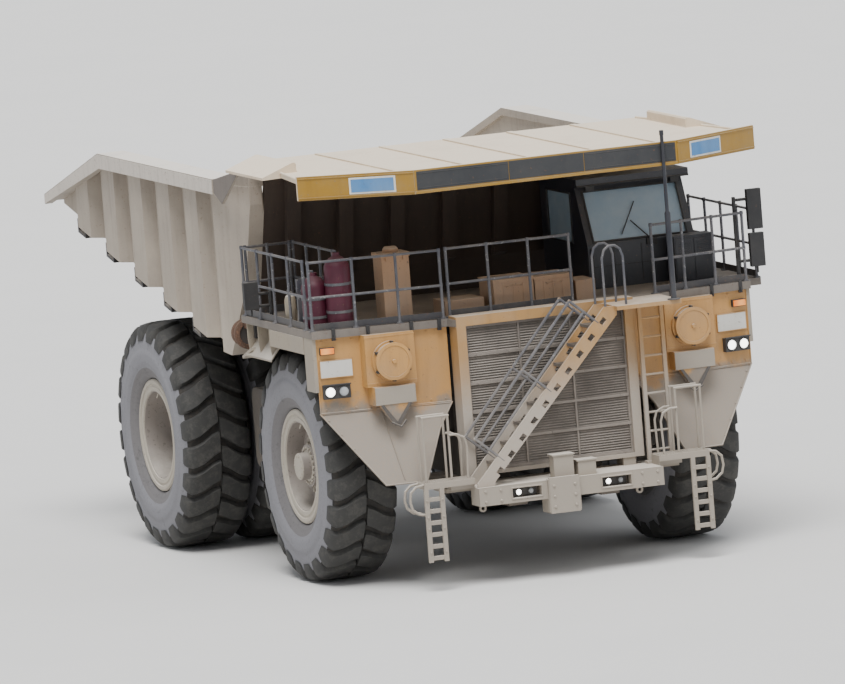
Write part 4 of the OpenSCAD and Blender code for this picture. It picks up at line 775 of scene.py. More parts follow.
@dataclass
class Tyres:
    """The tyres of one hub: smooth carcass and two staggered rows of lugs each."""

    name: str
    body: str
    node: str
    x: float
    ys: tuple[float, ...]
    outer: Side
    lug_count: int = 24
    steps: int = 144
    half_tread: float = 0.475
    bead_r: float = 0.905
    scuff_r: float = 1.075
    groove_r: float = 1.60
    lean_share: float = 0.16
    round_off: float = 0.012

    def carcass_profile(self) -> list[Flat]:
        """Section from one bead round to the other, as radius and distance across."""
        side = [(0.745, 0.372), (0.872, 0.374), (0.884, 0.384), (0.900, 0.420),
                (0.935, 0.462), (0.985, 0.494), (1.010, 0.498), (1.022, 0.509),
                (1.075, 0.532), (1.110, 0.540), (1.122, 0.550), (1.190, 0.556),
                (1.270, 0.559), (1.335, 0.558), (1.345, 0.551), (1.405, 0.547),
                (1.480, 0.538), (1.550, 0.524), (1.612, 0.503), (1.660, 0.468),
                (1.688, 0.410), (1.700, 0.300), (1.706, 0.150)]
        return ([(r, -y) for r, y in side] + [(1.707, 0.0)]
                + [(r, y) for r, y in reversed(side)])

    def tread_r(self, y: float) -> float:
        """Radius of the lugs' tops at a distance across: crowned, and lower at the shoulder."""
        f = abs(y) / self.half_tread
        crown, shoulder, shoulder_from = 0.010, 0.026, 0.72
        return (TYRE_R - crown * f ** 2
                - shoulder * max(0.0, f - shoulder_from) / (1 - shoulder_from))

    def lug(self, shape: Shape, y_mid: float, angle: float, hand: int) -> None:
        """Adds one lug that runs from the middle out over the shoulder.

        Args:
            shape: Shape that takes the lug.
            y_mid: Middle of the tyre across the truck.
            angle: Angle of the lug's inner end in radians.
            hand: Side of the tread, 1 or -1.
        """
        pitch = 2 * math.pi / self.lug_count
        # Across, top radius if not the tread's, foot radius, share of the pitch, lead
        stations = ((0.012, None, 1.690, 0.66, 0.00), (0.120, None, 1.690, 0.70, 0.10),
                    (0.210, None, 1.688, 0.71, 0.23), (0.300, None, 1.680, 0.71, 0.36),
                    (0.400, None, 1.665, 0.71, 0.45), (0.468, None, 1.640, 0.70, 0.49),
                    (0.512, 1.700, 1.590, 0.67, 0.50), (0.538, 1.625, 1.545, 0.60, 0.50),
                    (0.5475, 1.540, 1.500, 0.50, 0.50))
        rings = []
        for y, shoulder_r, foot, share, lead in stations:
            top = shoulder_r or self.tread_r(y)
            mid = angle + lead * pitch
            half = share * pitch / 2
            lean = self.lean_share * half
            flank_r = top - self.round_off
            ring = ((mid - half - lean, foot), (mid - half, flank_r),
                    (mid - half + 0.06 * half, top), (mid, top),
                    (mid + half - 0.06 * half, top), (mid + half, flank_r),
                    (mid + half + lean, foot))
            rings.append([(self.x + r * math.sin(a), y_mid + hand * y, AXLE_Z + r * math.cos(a))
                          for a, r in ring])
        shape.loft(rings)

    def build(self) -> bpy.types.Object:
        """Makes the piece with carcass, groove bottoms and lugs."""
        # Marks: sidewall, tread, groove, bead
        shape = Shape()
        profile = self.carcass_profile()
        for y in self.ys:
            shape.mark = 0
            shape.lathe(profile, (self.x, y, AXLE_Z), Y_AXIS, self.steps)
            # Rings past the shoulders and at the bead are darkened as painted shade, and the rings
            # next to the bead have a darker finish of their own
            rows = len(profile) - 1
            first = len(shape.marks) - 2 - rows * self.steps
            for k in range(self.steps):
                for i in range(rows):
                    r = (profile[i][0] + profile[i + 1][0]) / 2
                    if r > self.groove_r or r < self.bead_r:
                        shape.marks[first + k * rows + i] = 2
                    elif r < self.scuff_r:
                        shape.marks[first + k * rows + i] = 3
            # The two round caps that the lathe adds would close the bead's hole
            del shape.faces[-2:], shape.marks[-2:]
            shape.mark = 1
            turn = self.outer.value
            for k in range(self.lug_count):
                for hand in (1, -1):
                    shift = 0.5 if hand * turn < 0 else 0.0
                    a = 2 * math.pi * (k + shift) / self.lug_count
                    self.lug(shape, y, a, hand)
        return make(self.name, shape, [SIDEWALL, TREAD, GROOVE, BEAD], self.body,
                    [self.node], crease=38, turn=False)


@dataclass
class RimTrim:
    """Lock rings, nuts, covers and valves on the rims of one hub."""

    name: str
    body: str
    x: float
    y: float
    side: Side
    rear: bool
    bead_y: float = 0.42

    @property
    def out(self) -> Point:
        """Direction of the wheel's axis, away from the truck."""
        return (0, self.side.value, 0)

    def out_by(self, distance: float) -> Point:
        """Place on the wheel's axis, so far outwards from the hub's middle."""
        return (self.x, self.y + self.side.value * distance, AXLE_Z)

    def turned(self, shape: Shape, profile: Sequence[Flat], steps: int = 96,
               closed: bool = True) -> None:
        """Turns a profile about the wheel's axis, from the hub's middle outwards.

        Args:
            shape: Shape that takes it.
            profile: Pairs of radius and distance outwards.
            steps: Faces round the axis.
            closed: Whether the profile is a closed section clear of the axis.
        """
        shape.lathe(profile, self.out_by(0), self.out, steps, closed)

    def ring(self, shape: Shape, y: float) -> None:
        """Adds the split lock ring with its rounded flange at a rim's outer edge."""
        self.turned(shape, [(0.690, y - 0.004), (0.702, y + 0.018), (0.760, y + 0.022),
                            (0.772, y + 0.010), (0.800, y + 0.012), (0.812, y + 0.030),
                            (0.858, y + 0.034), (0.884, y + 0.016), (0.889, y - 0.010),
                            (0.876, y - 0.030), (0.690, y - 0.030)])

    def valve(self, shape: Shape, y: float) -> None:
        """Adds the bent inflation valve at the barrel's edge."""
        s = self.side.value
        shape.tube([(self.x + dx, self.y + s * (y + dy), AXLE_Z + dz)
                    for dx, dy, dz in ((0.12, -0.12, 0.66), (0.12, 0.005, 0.65),
                                       (0.13, 0.03, 0.60))], 0.012, 8)

    def rear_hub(self, shape: Shape) -> None:
        """Adds the nut circles, hub cover and plugs of a final drive."""
        self.turned(shape, [(0.520, 0.286), (0.640, 0.286), (0.640, 0.304), (0.520, 0.304)])
        shape.nuts(self.out_by(0.304), self.out, 0.585, 36, 0.056, 0.042)
        self.turned(shape, [(0.395, 0.644), (0.470, 0.644), (0.470, 0.664), (0.395, 0.664)])
        shape.nuts(self.out_by(0.664), self.out, 0.435, 24, 0.046, 0.030)
        shape.nuts(self.out_by(0.694), self.out, 0.285, 16, 0.040, 0.026)
        self.turned(shape, [(0.001, 0.690), (0.105, 0.690), (0.110, 0.720), (0.080, 0.735),
                            (0.001, 0.738)], 48, closed=False)
        plug_r = 0.2
        for angle in (40, 160, 280):
            a = math.radians(angle)
            spot = (self.x + plug_r * math.cos(a), self.y, AXLE_Z + plug_r * math.sin(a))
            shape.lathe([(0.030, 0.690), (0.030, 0.712), (0.001, 0.716)], spot, self.out, 12)

    def front_hub(self, shape: Shape) -> None:
        """Adds the nut circles and the stepped cap of a front hub."""
        self.turned(shape, [(0.470, 0.086), (0.570, 0.112), (0.570, 0.132), (0.470, 0.106)])
        shape.nuts(self.out_by(0.118), self.out, 0.520, 32, 0.056, 0.044)
        shape.nuts(self.out_by(0.310), self.out, 0.275, 20, 0.046, 0.030)
        self.turned(shape, [(0.206, 0.455), (0.196, 0.474), (0.120, 0.480), (0.001, 0.480)], 64,
                    closed=False)
        shape.nuts(self.out_by(0.468), self.out, 0.165, 10, 0.034, 0.020)
        self.turned(shape, [(0.240, 0.309), (0.240, 0.324), (0.212, 0.330), (0.212, 0.309)], 64)

    def build(self) -> bpy.types.Object:
        """Makes the piece with what a front or a rear hub carries."""
        shape = Shape()
        edge = self.bead_y + (TWIN_PITCH if self.rear else 0.0)
        self.ring(shape, edge)
        self.valve(shape, edge)
        (self.rear_hub if self.rear else self.front_hub)(shape)
        # Rings, nuts and covers take the rim paint's paler copy, a painted highlight
        return make(self.name, shape, [RIM_RING_HIGHLIGHT], self.body)


# Front end

SWEEP = math.atan2(0.3, 2.08)
FASCIA_FOOT: Flat = (5.9275, 1.5)
FASCIA_LEN = 2.1015


def at_fascia(side: Side) -> Matrix:
    """Frame of a fascia's inner end: X out of it, Y along it outwards, Z up."""
    return (mirror_y(side) @ Matrix.Translation((*FASCIA_FOOT, 0))
            @ Matrix.Rotation(SWEEP, 4, "Z"))


def deck_edge(y: float) -> float:
    """Place ahead of the decks' swept front edge, at a place across."""
    return FASCIA_FOOT[0] - (abs(y) - FASCIA_FOOT[1]) * math.tan(SWEEP)


@dataclass
class Grille:
    """Radiator core behind five rows of louvre blades, which stand for the CAD grille."""

    half_w: float = 1.289
    low_z: float = 1.711
    high_z: float = 3.949
    rows: int = 5
    blades: int = 10
    fins: int = 64
    bar: float = 0.044

    def build(self) -> list[bpy.types.Object]:
        """Makes the core and the louvres."""
        core, blades = Shape(), Shape()
        x, half, low, high = RADIATOR_X, self.half_w, self.low_z, self.high_z
        core.block((x - 0.22, -half, low), (x - 0.15, half, high))
        for i in range(self.fins + 1):
            y = -half + 2 * half * i / self.fins
            core.block((x - 0.151, y - 0.006, low), (x - 0.135, y + 0.006, high))
        step = (high - low - self.bar) / self.rows
        pitch = (step - self.bar) / self.blades
        bar_zs = [low + i * step for i in range(self.rows + 1)]
        for z in bar_zs:
            blades.block((x - 0.125, -half, z), (x - 0.045, half, z + self.bar))
        for bar_z in bar_zs[:-1]:
            for k in range(self.blades):
                z = bar_z + self.bar + k * pitch
                blades.prism([(z + 0.037, x - 0.120), (z, x - 0.072), (z + 0.006, x - 0.068),
                              (z + 0.043, x - 0.116)], -half + 0.01, half - 0.01, "y")
        for y in (-half, -0.44, 0.40, half - 0.03):
            blades.block((x - 0.122, y, low), (x - 0.058, y + 0.03, high))
        for z in bar_zs:
            for y in (-1.15, -0.6, 0.0, 0.6, 1.15):
                blades.nut((x - 0.045, y, z + self.bar / 2), 0.026, 0.012)
        stands_for = ["radiator_grille"]
        return [make("radiator_core_fins", core, [CORE], "chassis", stands_for),
                make("grille_louvres", blades, [LOUVRE], "chassis", stands_for,
                     bevel=0.003)]


@dataclass
class StairTrim:
    """Tread grating, grab hoops and rail tubes of the diagonal stairway."""

    foot: Flat = (-1.33, 1.59)
    head: Flat = (0.83, 4.06)
    front_x: float = 6.7275
    back_x: float = 6.2475
    treads: int = 8
    bars: int = 7
    rail_r: float = 0.0225

    def build(self) -> list[bpy.types.Object]:
        """Makes the treads' grating, and the hoops and rails."""
        treads, hoops = Shape(), Shape()
        front, back = self.front_x, self.back_x
        run, rise = self.head[0] - self.foot[0], self.head[1] - self.foot[1]
        for i in range(1, self.treads + 1):
            t = i / (self.treads + 1)
            y, z = self.foot[0] + t * run, self.foot[1] + t * rise
            for k in range(self.bars):
                treads.block((back + 0.045, y - 0.055 + k * 0.031, z - 0.001),
                             (front - 0.045, y - 0.045 + k * 0.031, z + 0.014))
            treads.block((back + 0.042, y - 0.072, z - 0.03), (front - 0.042, y - 0.06, z + 0.016))
        # Grab hoops where the stairway meets the landing
        hoop = ((0.80, 4.03), (0.80, 4.80), (0.84, 4.92), (0.92, 4.98), (1.02, 4.98),
                (1.10, 4.92), (1.14, 4.80), (1.14, 4.05))
        for x in (front - 0.02, back + 0.02):
            hoops.tube([(x, *p) for p in hoop], 0.019)
        # Tubes over the bent rails, in the stringers' frame
        hoops.place = (Matrix.Translation((0, self.foot[0] + 0.06, self.foot[1]))
                       @ Matrix.Rotation(math.atan2(rise, run), 4, "X"))
        length = math.hypot(rise, run)
        low, high = 0.12 * length, 0.9 * length
        middle = (low + high) / 2
        for x in (back + 0.02, front - 0.02):
            hoops.tube([(x, low, 0.02), (x, low, 0.60), (x, high, 0.60), (x, high, 0.02)],
                       self.rail_r)
            hoops.tube([(x, low - 0.021, 0.31), (x, high + 0.021, 0.31)], self.rail_r - 0.001)
            hoops.tube([(x, middle, 0.02), (x, middle, 0.60)], self.rail_r)
        return [make("stair_tread_grating", treads, [DECK_PLATE], "chassis"),
                make("stair_hoops_and_rails", hoops, [RAIL_TUBE], "chassis")]


@dataclass
class BumperTrim:
    """Lids, cheeks, bezels and bolts on the bumper; grating, rails and loops of its platforms."""

    tow_y: float = -0.14
    half_len: float = 1.49

    def beam(self, trim: Shape) -> None:
        """Adds what the beam and its tow block carry."""
        # Lids of the two small blocks on the beam, beside the tow block
        for y0, y1, h in ((-0.23, 0.09, 0.34), (0.16, 0.45, 0.22)):
            trim.block((BUMPER_X - 0.32, y0 - 0.02, BUMPER_TOP + h - 0.001),
                       (BUMPER_X - 0.08, y1 + 0.02, BUMPER_TOP + h + 0.025))
        # Tow block's cheeks, the collar under its pin, and its bolts
        for y in (self.tow_y - 0.255, self.tow_y + 0.24):
            trim.block((BUMPER_X - 0.05, y, BUMPER_Z - 0.21),
                       (BUMPER_X + 0.058, y + 0.015, BUMPER_TOP + 0.02))
        trim.lathe([(0.050, -0.012), (0.105, -0.012), (0.105, 0.0), (0.050, 0.0)],
                   (BUMPER_X - 0.12, self.tow_y, BUMPER_Z - 0.23), Z_AXIS, 32, closed=True)
        for dy in (-0.17, 0.17):
            for z in (1.12, 1.28, 1.44):
                trim.nut((BUMPER_X + 0.06, self.tow_y + dy, z), 0.05, 0.014)
        # Bezels round the lamp pockets
        zl, zh, edge = BUMPER_Z + 0.07, BUMPER_Z + 0.22, 0.02
        for y in BUMPER_LAMP_YS:
            low, high = y - 0.235, y + 0.235
            for a, b in (((low - edge, zl - edge), (high + edge, zl)),
                         ((low - edge, zh), (high + edge, zh + edge)),
                         ((low - edge, zl), (low, zh)), ((high, zl), (high + edge, zh))):
                trim.block((BUMPER_X - 0.01, *a), (BUMPER_X + 0.012, *b))
        for y in (-1.40, -1.15, 1.15, 1.40):
            for z in (BUMPER_Z + 0.06, BUMPER_TOP - 0.06):
                trim.nut((BUMPER_X, y, z), 0.045, 0.018)
        # Weld bead along the beam's top edge
        trim.tube([(BUMPER_X - 0.006, y, BUMPER_TOP) for y in (-self.half_len, self.half_len)],
                  0.010, 6)

    def platform(self, grating: Shape) -> None:
        """Adds what one step platform carries."""
        for k in range(9):
            x = BUMPER_X - 0.47 + k * 0.0365
            grating.block((x, 1.51, 1.679), (x + 0.010, 2.31, 1.694))
        for k in range(6):
            y = 1.52 + k * 0.155
            grating.block((BUMPER_X - 0.485, y, 1.679), (BUMPER_X - 0.155, y + 0.008, 1.690))
        for y in (2.045, 2.295):
            for z in (0.62, 0.98, 1.16, 1.42):
                grating.nut((BUMPER_X - 0.15, y, z), 0.034, 0.014)
        # Bent rails that swing out and down from the outer end, and loops at the inner end
        rail = ((2.30, 1.66), (2.44, 1.64), (2.53, 1.56), (2.55, 1.42), (2.52, 1.30),
                (2.42, 1.22), (2.30, 1.20))
        loop = ((1.60, 1.68), (1.58, 2.20), (1.62, 2.32), (1.74, 2.38), (1.86, 2.38))
        for backs, bends, radius in (((0.20, 0.45), rail, 0.020), ((0.18, 0.45), loop, 0.018)):
            for back in backs:
                grating.tube([(BUMPER_X - back, *p) for p in bends], radius, 8)

    def build(self) -> list[bpy.types.Object]:
        """Makes the beam's trim, and the platforms' trim."""
        trim, grating = Shape(), Shape()
        self.beam(trim)
        for _ in each_side(grating):
            self.platform(grating)
        return [make("bumper_blocks_and_eyes", trim, [PALE_ENAMEL], "chassis",
                     bevel=0.006),
                make("platform_grating", grating, [PALE_ENAMEL], "chassis")]


@dataclass
class Lamps:
    """Lamp pairs, turn lamps and blank sign plates, which stand for the CAD lamps."""

    # Marks of the finishes in build
    HOUSING, LIT, DARK, ORANGE, PLATE, FRAME = range(6)

    def lens(self, shape: Shape, place: Point, r: float, mark: int) -> None:
        """Adds a domed round lens in a ring.

        Args:
            shape: Shape that takes it.
            place: Middle of the lens's foot.
            r: Radius of the lens.
            mark: Mark of the lens's finish.
        """
        shape.mark = self.HOUSING
        shape.lathe([(r + 0.018, -0.02), (r + 0.018, 0.012), (r, 0.016), (r, -0.02)],
                    place, X_AXIS, 32, closed=True)
        shape.mark = mark
        shape.lathe([(r - 0.001, -0.01), (r * 0.96, 0.004), (r * 0.7, 0.014),
                     (r * 0.35, 0.020), (0.001, 0.022)], place, X_AXIS, 32)

    def fascia(self, shape: Shape, end: float, inner: int) -> None:
        """Adds the headlamps, turn lamp and plate of one fascia.

        Args:
            shape: Shape that takes them, in the fascia's frame.
            end: Length of the fascia.
            inner: Mark of the inner headlamp's lens.
        """
        shape.mark = self.HOUSING
        shape.block((-0.059, end - 0.53, 3.02), (0.045, end - 0.11, 3.235))
        shape.block((0.044, end - 0.54, 3.228), (0.070, end - 0.10, 3.248))
        self.lens(shape, (0.045, end - 0.215, 3.125), 0.074, self.LIT)
        self.lens(shape, (0.045, end - 0.425, 3.125), 0.074, inner)
        shape.mark = self.HOUSING
        shape.block((-0.059, end - 0.335, 3.695), (0.0, end - 0.105, 3.805))
        shape.mark = self.ORANGE
        shape.block((-0.001, end - 0.325, 3.705), (0.018, end - 0.115, 3.795))
        # Blank sign plate with its thin frame
        shape.mark = self.PLATE
        shape.block((-0.0595, end - 0.60, 3.34), (-0.042, end - 0.10, 3.60))
        shape.mark = self.FRAME
        for y0, z0, y1, z1 in ((0.61, 3.33, 0.09, 3.345), (0.61, 3.595, 0.09, 3.61),
                               (0.61, 3.33, 0.595, 3.61), (0.105, 3.33, 0.09, 3.61)):
            shape.block((-0.0595, end - y0, z0), (-0.038, end - y1, z1))

    def build(self) -> bpy.types.Object:
        """Makes all the lamps and plates in one piece."""
        shape = Shape()
        for side in Side:
            shape.place = at_fascia(side)
            self.fascia(shape, FASCIA_LEN, self.LIT if side is Side.LEFT else self.DARK)
        shape.place = Matrix.Identity(4)
        for y in BUMPER_LAMP_YS:
            shape.mark = self.HOUSING
            shape.block((BUMPER_X - 0.1797, y - 0.19, BUMPER_Z + 0.09),
                        (BUMPER_X - 0.10, y + 0.19, BUMPER_Z + 0.20))
            for dy, mark in ((-0.10, self.LIT), (0.10, self.DARK)):
                self.lens(shape, (BUMPER_X - 0.10, y + dy, BUMPER_Z + 0.145), 0.044, mark)
        return make("lamps_and_plates", shape,
                    [BLACK_TRIM, LENS_LIT, LENS_DARK, LENS_ORANGE, SIGN_WHITE, OCHRE],
                    "chassis", ["headlamps"], bevel=0.004)


@dataclass
class FenderTrim:
    """Lips and bolts of fascias and skirts, air cleaners' fittings, and side aprons."""

    knee_z: float = 2.78
    lean: float = math.radians(21)
    cleaner: Point = (6.0675, 2.44, 3.53)
    flap_hinge: Point = (2.6975, 0, 3.56)
    flap_lean: float = math.radians(-20)

    def on_skirt(self, down: float, y: float, out: float = 0.0) -> Point:
        """Place on a skirt's front face, in its fascia's frame."""
        return (-0.06 + down * math.sin(self.lean) + out * math.cos(self.lean), y,
                self.knee_z - down * math.cos(self.lean) + out * math.sin(self.lean))

    def fascia(self, shape: Shape) -> None:
        """Adds the lips and bolt rows of one fascia and its skirt."""
        end, bolt = FASCIA_LEN - 0.06, (0.032, 0.014)
        rim = ((0.0, 0.0), (0.0, end), (1.2, 1.2), (1.2, 0.56), (0.4, 0.25))
        shape.tube([self.on_skirt(d, y, 0.004) for d, y in rim], 0.013, 6, closed=True)
        shape.tube([self.on_skirt(0.06, 1.10, 0.004), self.on_skirt(1.14, 0.90, 0.004)],
                   0.010, 6)
        shape.tube([(-0.056, 0.005, self.knee_z + 0.02), (-0.056, end, self.knee_z + 0.02),
                    (-0.056, end, 3.93)], 0.012, 6)
        for k in range(9):
            for z in (self.knee_z + 0.07, 3.90):
                shape.nut((-0.06, 0.09 + k * (end - 0.18) / 8, z), *bolt)
        for k in range(5):
            shape.nut(self.on_skirt(0.1 + k * 0.24, 1.93 - k * 0.16), *bolt,
                      (math.cos(self.lean), 0, math.sin(self.lean)))

    def cleaner_fittings(self, shape: Shape) -> None:
        """Adds clips, nut, seams, cover, a bent bar and a dark V sheet of painted shadow to one air
        cleaner.
        """
        # Marks: ochre, black, dark steel, pale
        x, y, z = self.cleaner
        shape.mark = 0
        shape.lathe([(0.281, -0.018), (0.289, -0.018), (0.289, 0.003), (0.240, 0.010),
                     (0.236, 0.004), (0.281, 0.002)], self.cleaner, X_AXIS, 48, closed=True)
        shape.lathe([(0.001, 0.030), (0.030, 0.028), (0.034, 0.0), (0.052, -0.001)],
                    self.cleaner, X_AXIS, 20)
        shape.mark = 1
        for k in range(6):
            a = math.radians(30 + 60 * k)
            cy, cz = y + 0.292 * math.cos(a), z + 0.292 * math.sin(a)
            shape.block((x - 0.120, cy - 0.018, cz - 0.018), (x - 0.015, cy + 0.018, cz + 0.018))
        shape.mark = 0
        for seam in (3.19, 3.90):
            shape.block((x - 0.172, y - 0.405, seam), (x - 0.154, y + 0.405, seam + 0.022))
        # Dusted cover of the lower box
        shape.mark = 3
        shape.block((x - 0.0605, y - 0.325, 2.875), (x - 0.046, y + 0.325, 3.145))
        # Dark V sheet of painted shadow over the dust cup's point, and a bent bar of dark steel
        shape.mark = 2
        shape.prism([(y - 0.25, 2.875), (y - 0.20, 2.875), (y, 2.60), (y + 0.20, 2.875),
                     (y + 0.25, 2.875), (y + 0.045, 2.545), (y - 0.045, 2.545)],
                    x - 0.0595, x - 0.048, "x")
        shape.tube([(x - 0.052, y - 0.14, 2.62), (x - 0.03, y - 0.05, 2.52),
                    (x - 0.052, y + 0.10, 2.60)], 0.014, 8)

    def apron(self, shape: Shape) -> None:
        """Adds the leaning sheet below a deck's edge, its brackets, and the return's sheet."""
        shape.prism([(3.270, 3.826), (3.574, 3.462), (3.574, 3.440), (3.592, 3.440),
                     (3.592, 3.470), (3.282, 3.842)], 2.47, 3.64, "x")
        for x in (2.52, 3.02, 3.55):
            shape.prism([(3.44, 3.62), (3.54, 3.52), (3.565, 3.70), (3.565, 3.948),
                         (3.34, 3.948), (3.30, 3.80)], x, x + 0.016, "x")
        shape.prism([(3.30, 3.80), (3.33, 3.80), (3.33, 3.948), (3.30, 3.948)], 2.50, 3.60, "x")
        # Side sheet and its folded foot, then sheets on the return and the flap's hanger
        for low, high in (((3.64, 3.568, 3.70), (5.20, 3.586, 3.945)),
                          ((3.64, 3.50, 3.688), (5.20, 3.586, 3.702)),
                          ((5.194, 3.516, 3.126), (5.592, 3.572, 3.949)),
                          ((2.608, 3.296, 3.560), (2.687, 3.364, 3.949))):
            shape.block(low, high)
        shape.place = (shape.place @ Matrix.Translation(self.flap_hinge)
                       @ Matrix.Rotation(self.flap_lean, 4, "Y"))
        shape.block((-0.464, 3.076, -0.024), (0.004, 3.584, 0.024))

    def build(self) -> list[bpy.types.Object]:
        """Makes lips and bolts, the air cleaners' fittings, and the aprons."""
        lips, cleaners, aprons = Shape(), Shape(), Shape()
        for side in each_side(cleaners, aprons):
            lips.place = at_fascia(side)
            self.fascia(lips)
            self.cleaner_fittings(cleaners)
            self.apron(aprons)
        return [make("fascia_lips_and_bolts", lips, [OCHRE], "chassis"),
                make("air_cleaner_fittings", cleaners,
                     [OCHRE, BLACK_TRIM, DARK_STEEL, PALE_ENAMEL], "chassis",
                     bevel=0.002),
                make("fender_aprons", aprons, [PALE_ENAMEL], "chassis",
                     bevel=0.003)]


@dataclass
class DeckEdges:
    """Toe boards, post feet and latches along the decks' edges."""

    # Start, end and number of spans of each handrail run
    runs: tuple[tuple[Flat, Flat, int], ...] = (
        ((5.5633, -3.54), (5.8546, -1.52), 3), ((5.7675, -1.38), (5.7675, 0.62), 3),
        ((5.7912, 1.96), (5.5633, 3.54), 3), ((5.2675, 3.83), (2.4775, 3.83), 4),
        ((5.3075, -3.54), (2.4775, -3.54), 4), ((2.4775, -3.48), (2.4775, -2.76), 2),
        ((4.3275, -2.70), (2.4775, -2.70), 3))
    latch_ys: tuple[float, ...] = (-3.25, -2.72, -2.05, -1.62, 2.2, 2.9, 3.4)

    def post(self, boards: Shape, d: float) -> None:
        """Adds a post's foot plate, nuts and collars, at a distance along its run."""
        boards.block((d - 0.055, -0.045, 0.0005), (d + 0.055, 0.045, 0.013))
        for dx, dy in ((-0.038, -0.03), (0.038, 0.03)):
            boards.nut((d + dx, dy, 0.013), 0.024, 0.012, Z_AXIS)
        boards.lathe([(0.024, 0.012), (0.034, 0.014), (0.026, 0.045), (0.024, 0.045)],
                     (d, 0, 0), Z_AXIS, 12, closed=True)
        for z in (0.516, 1.056):
            boards.lathe([(0.024, -0.03), (0.029, -0.02), (0.029, 0.02), (0.024, 0.03)],
                         (d, 0, z), Z_AXIS, 10, closed=True)

    def build(self) -> list[bpy.types.Object]:
        """Makes the boards and feet in one piece and the latches in another."""
        boards, latches = Shape(), Shape()
        for start, end, spans in self.runs:
            a, b = Vector(start), Vector(end)
            run, length = (b - a).normalized(), (b - a).length
            boards.place = (Matrix.Translation((a.x, a.y, DECK_Z))
                            @ Matrix.Rotation(math.atan2(run.y, run.x), 4, "Z"))
            boards.mark = 1
            boards.block((-0.02, -0.004, 0.012), (length + 0.02, 0.004, 0.115))
            boards.mark = 0
            for k in range(spans + 1):
                self.post(boards, length * k / spans)
        for y in self.latch_ys:
            x = deck_edge(y)
            latches.block((x - 0.02, y - 0.028, 3.905), (x + 0.028, y + 0.028, 4.085))
            latches.tube([(x + 0.03, y, 3.92), (x + 0.05, y, 3.95), (x + 0.03, y, 4.0)],
                         0.010, 6)
        # Angle along the decks' front edge
        latches.mark = 1
        for side in Side:
            latches.place = at_fascia(side)
            latches.block((-0.004, -0.02, 3.945), (0.010, FASCIA_LEN, 4.066))
        return [make("toe_boards_and_feet", boards, [RAIL_TUBE, DARK_STEEL], "chassis"),
                make("deck_edge_latches", latches, [BLACK_TRIM, DECK_PLATE], "chassis",
                     bevel=0.003)]


@dataclass
class CabTrim:
    """Gaskets, wiper, grab rails, handle and visor of the cab."""

    front_x: float = 4.3675
    sill_z: float = 4.74
    rake: float = 0.42 / 0.89

    def screen_x(self, z: float, out: float = 0.0) -> float:
        """Place ahead at a height on the raked windscreen, so far out of it."""
        return self.front_x - (z - self.sill_z) * self.rake + out

    def cab(self) -> Shape:
        """Shapes what the cab's shell carries."""
        cab = Shape()
        low, high = 4.78, 5.54
        cab.tube([(self.screen_x(z, 0.006), y, z) for y, z in
                  ((1.54, low), (3.08, low), (3.08, high), (1.54, high))], 0.018, 8, closed=True)
        # Gaskets of the side pane and the rear pane
        cab.tube([(x, 1.425, z) for x, z in ((2.6875, 4.74), (3.7475, 4.74), (3.7475, 5.51),
                                             (2.6875, 5.51))], 0.016, 8, closed=True)
        cab.tube([(2.383, y, z) for y, z in ((1.73, 4.84), (2.89, 4.84), (2.89, 5.47),
                                             (1.73, 5.47))], 0.016, 8, closed=True)
        # Wiper: motor box, arm and blade
        sill_x = self.screen_x(self.sill_z)
        cab.block((sill_x - 0.01, 2.40, 4.66), (sill_x + 0.04, 2.56, 4.76))
        cab.tube([(self.screen_x(4.75, 0.035), 2.48, 4.74),
                  (self.screen_x(5.05, 0.035), 2.20, 5.05)], 0.010, 8)
        cab.tube([(self.screen_x(z, 0.026), y, z) for y, z in ((2.02, 4.86), (2.33, 5.32))],
                 0.009, 6)
        # Grab rails on the front corners and over the walkway
        for y in (1.49, 3.13):
            cab.tube([(4.375, y, 4.20), (4.415, y, 4.22), (4.415, y, 4.66), (4.375, y, 4.68)],
                     0.015, 8)
        cab.tube([(2.75, 3.195, 4.35), (2.75, 3.25, 4.37), (2.75, 3.25, 5.25),
                  (2.75, 3.195, 5.27)], 0.016, 8)
        # Seams of the front panel and the visor's folded edge
        for y in (1.86, 2.31, 2.76):
            cab.block((4.3670, y - 0.006, 4.12), (4.3735, y + 0.006, 4.70))
        cab.block((4.3670, 1.50, 4.395), (4.3735, 3.12, 4.407))
        cab.tube([(4.1375, 1.40, 5.64), (4.1375, 3.25, 5.64)], 0.016, 8)
        # Work lamps below the visor
        for y in (1.62, 3.02):
            cab.block((4.06, y - 0.07, 5.555), (4.145, y + 0.07, 5.628))
        return cab

    def door(self) -> Shape:
        """Shapes the door's gasket, handle, plate and sill."""
        door = Shape()
        door.tube([(x, 3.194, z) for x, z in ((3.0375, 4.68), (3.4175, 4.68), (3.4175, 5.48),
                                              (3.0375, 5.48))], 0.014, 8, closed=True)
        door.tube([(3.46, 3.19, 4.44), (3.46, 3.225, 4.45), (3.46, 3.225, 4.60),
                   (3.46, 3.19, 4.61)], 0.011, 8)
        door.block((3.435, 3.188, 4.40), (3.485, 3.198, 4.65))
        door.block((2.985, 3.188, 4.21), (3.47, 3.194, 4.225))
        return door

    def build(self) -> list[bpy.types.Object]:
        """Makes the cab's trim, and the door's trim on the door."""
        return [make("cab_gaskets_and_rails", self.cab(), [BLACK_TRIM], "chassis"),
                make("door_gasket_and_handle", self.door(), [BLACK_TRIM], "cab_door")]


# Sides, canopy and deck


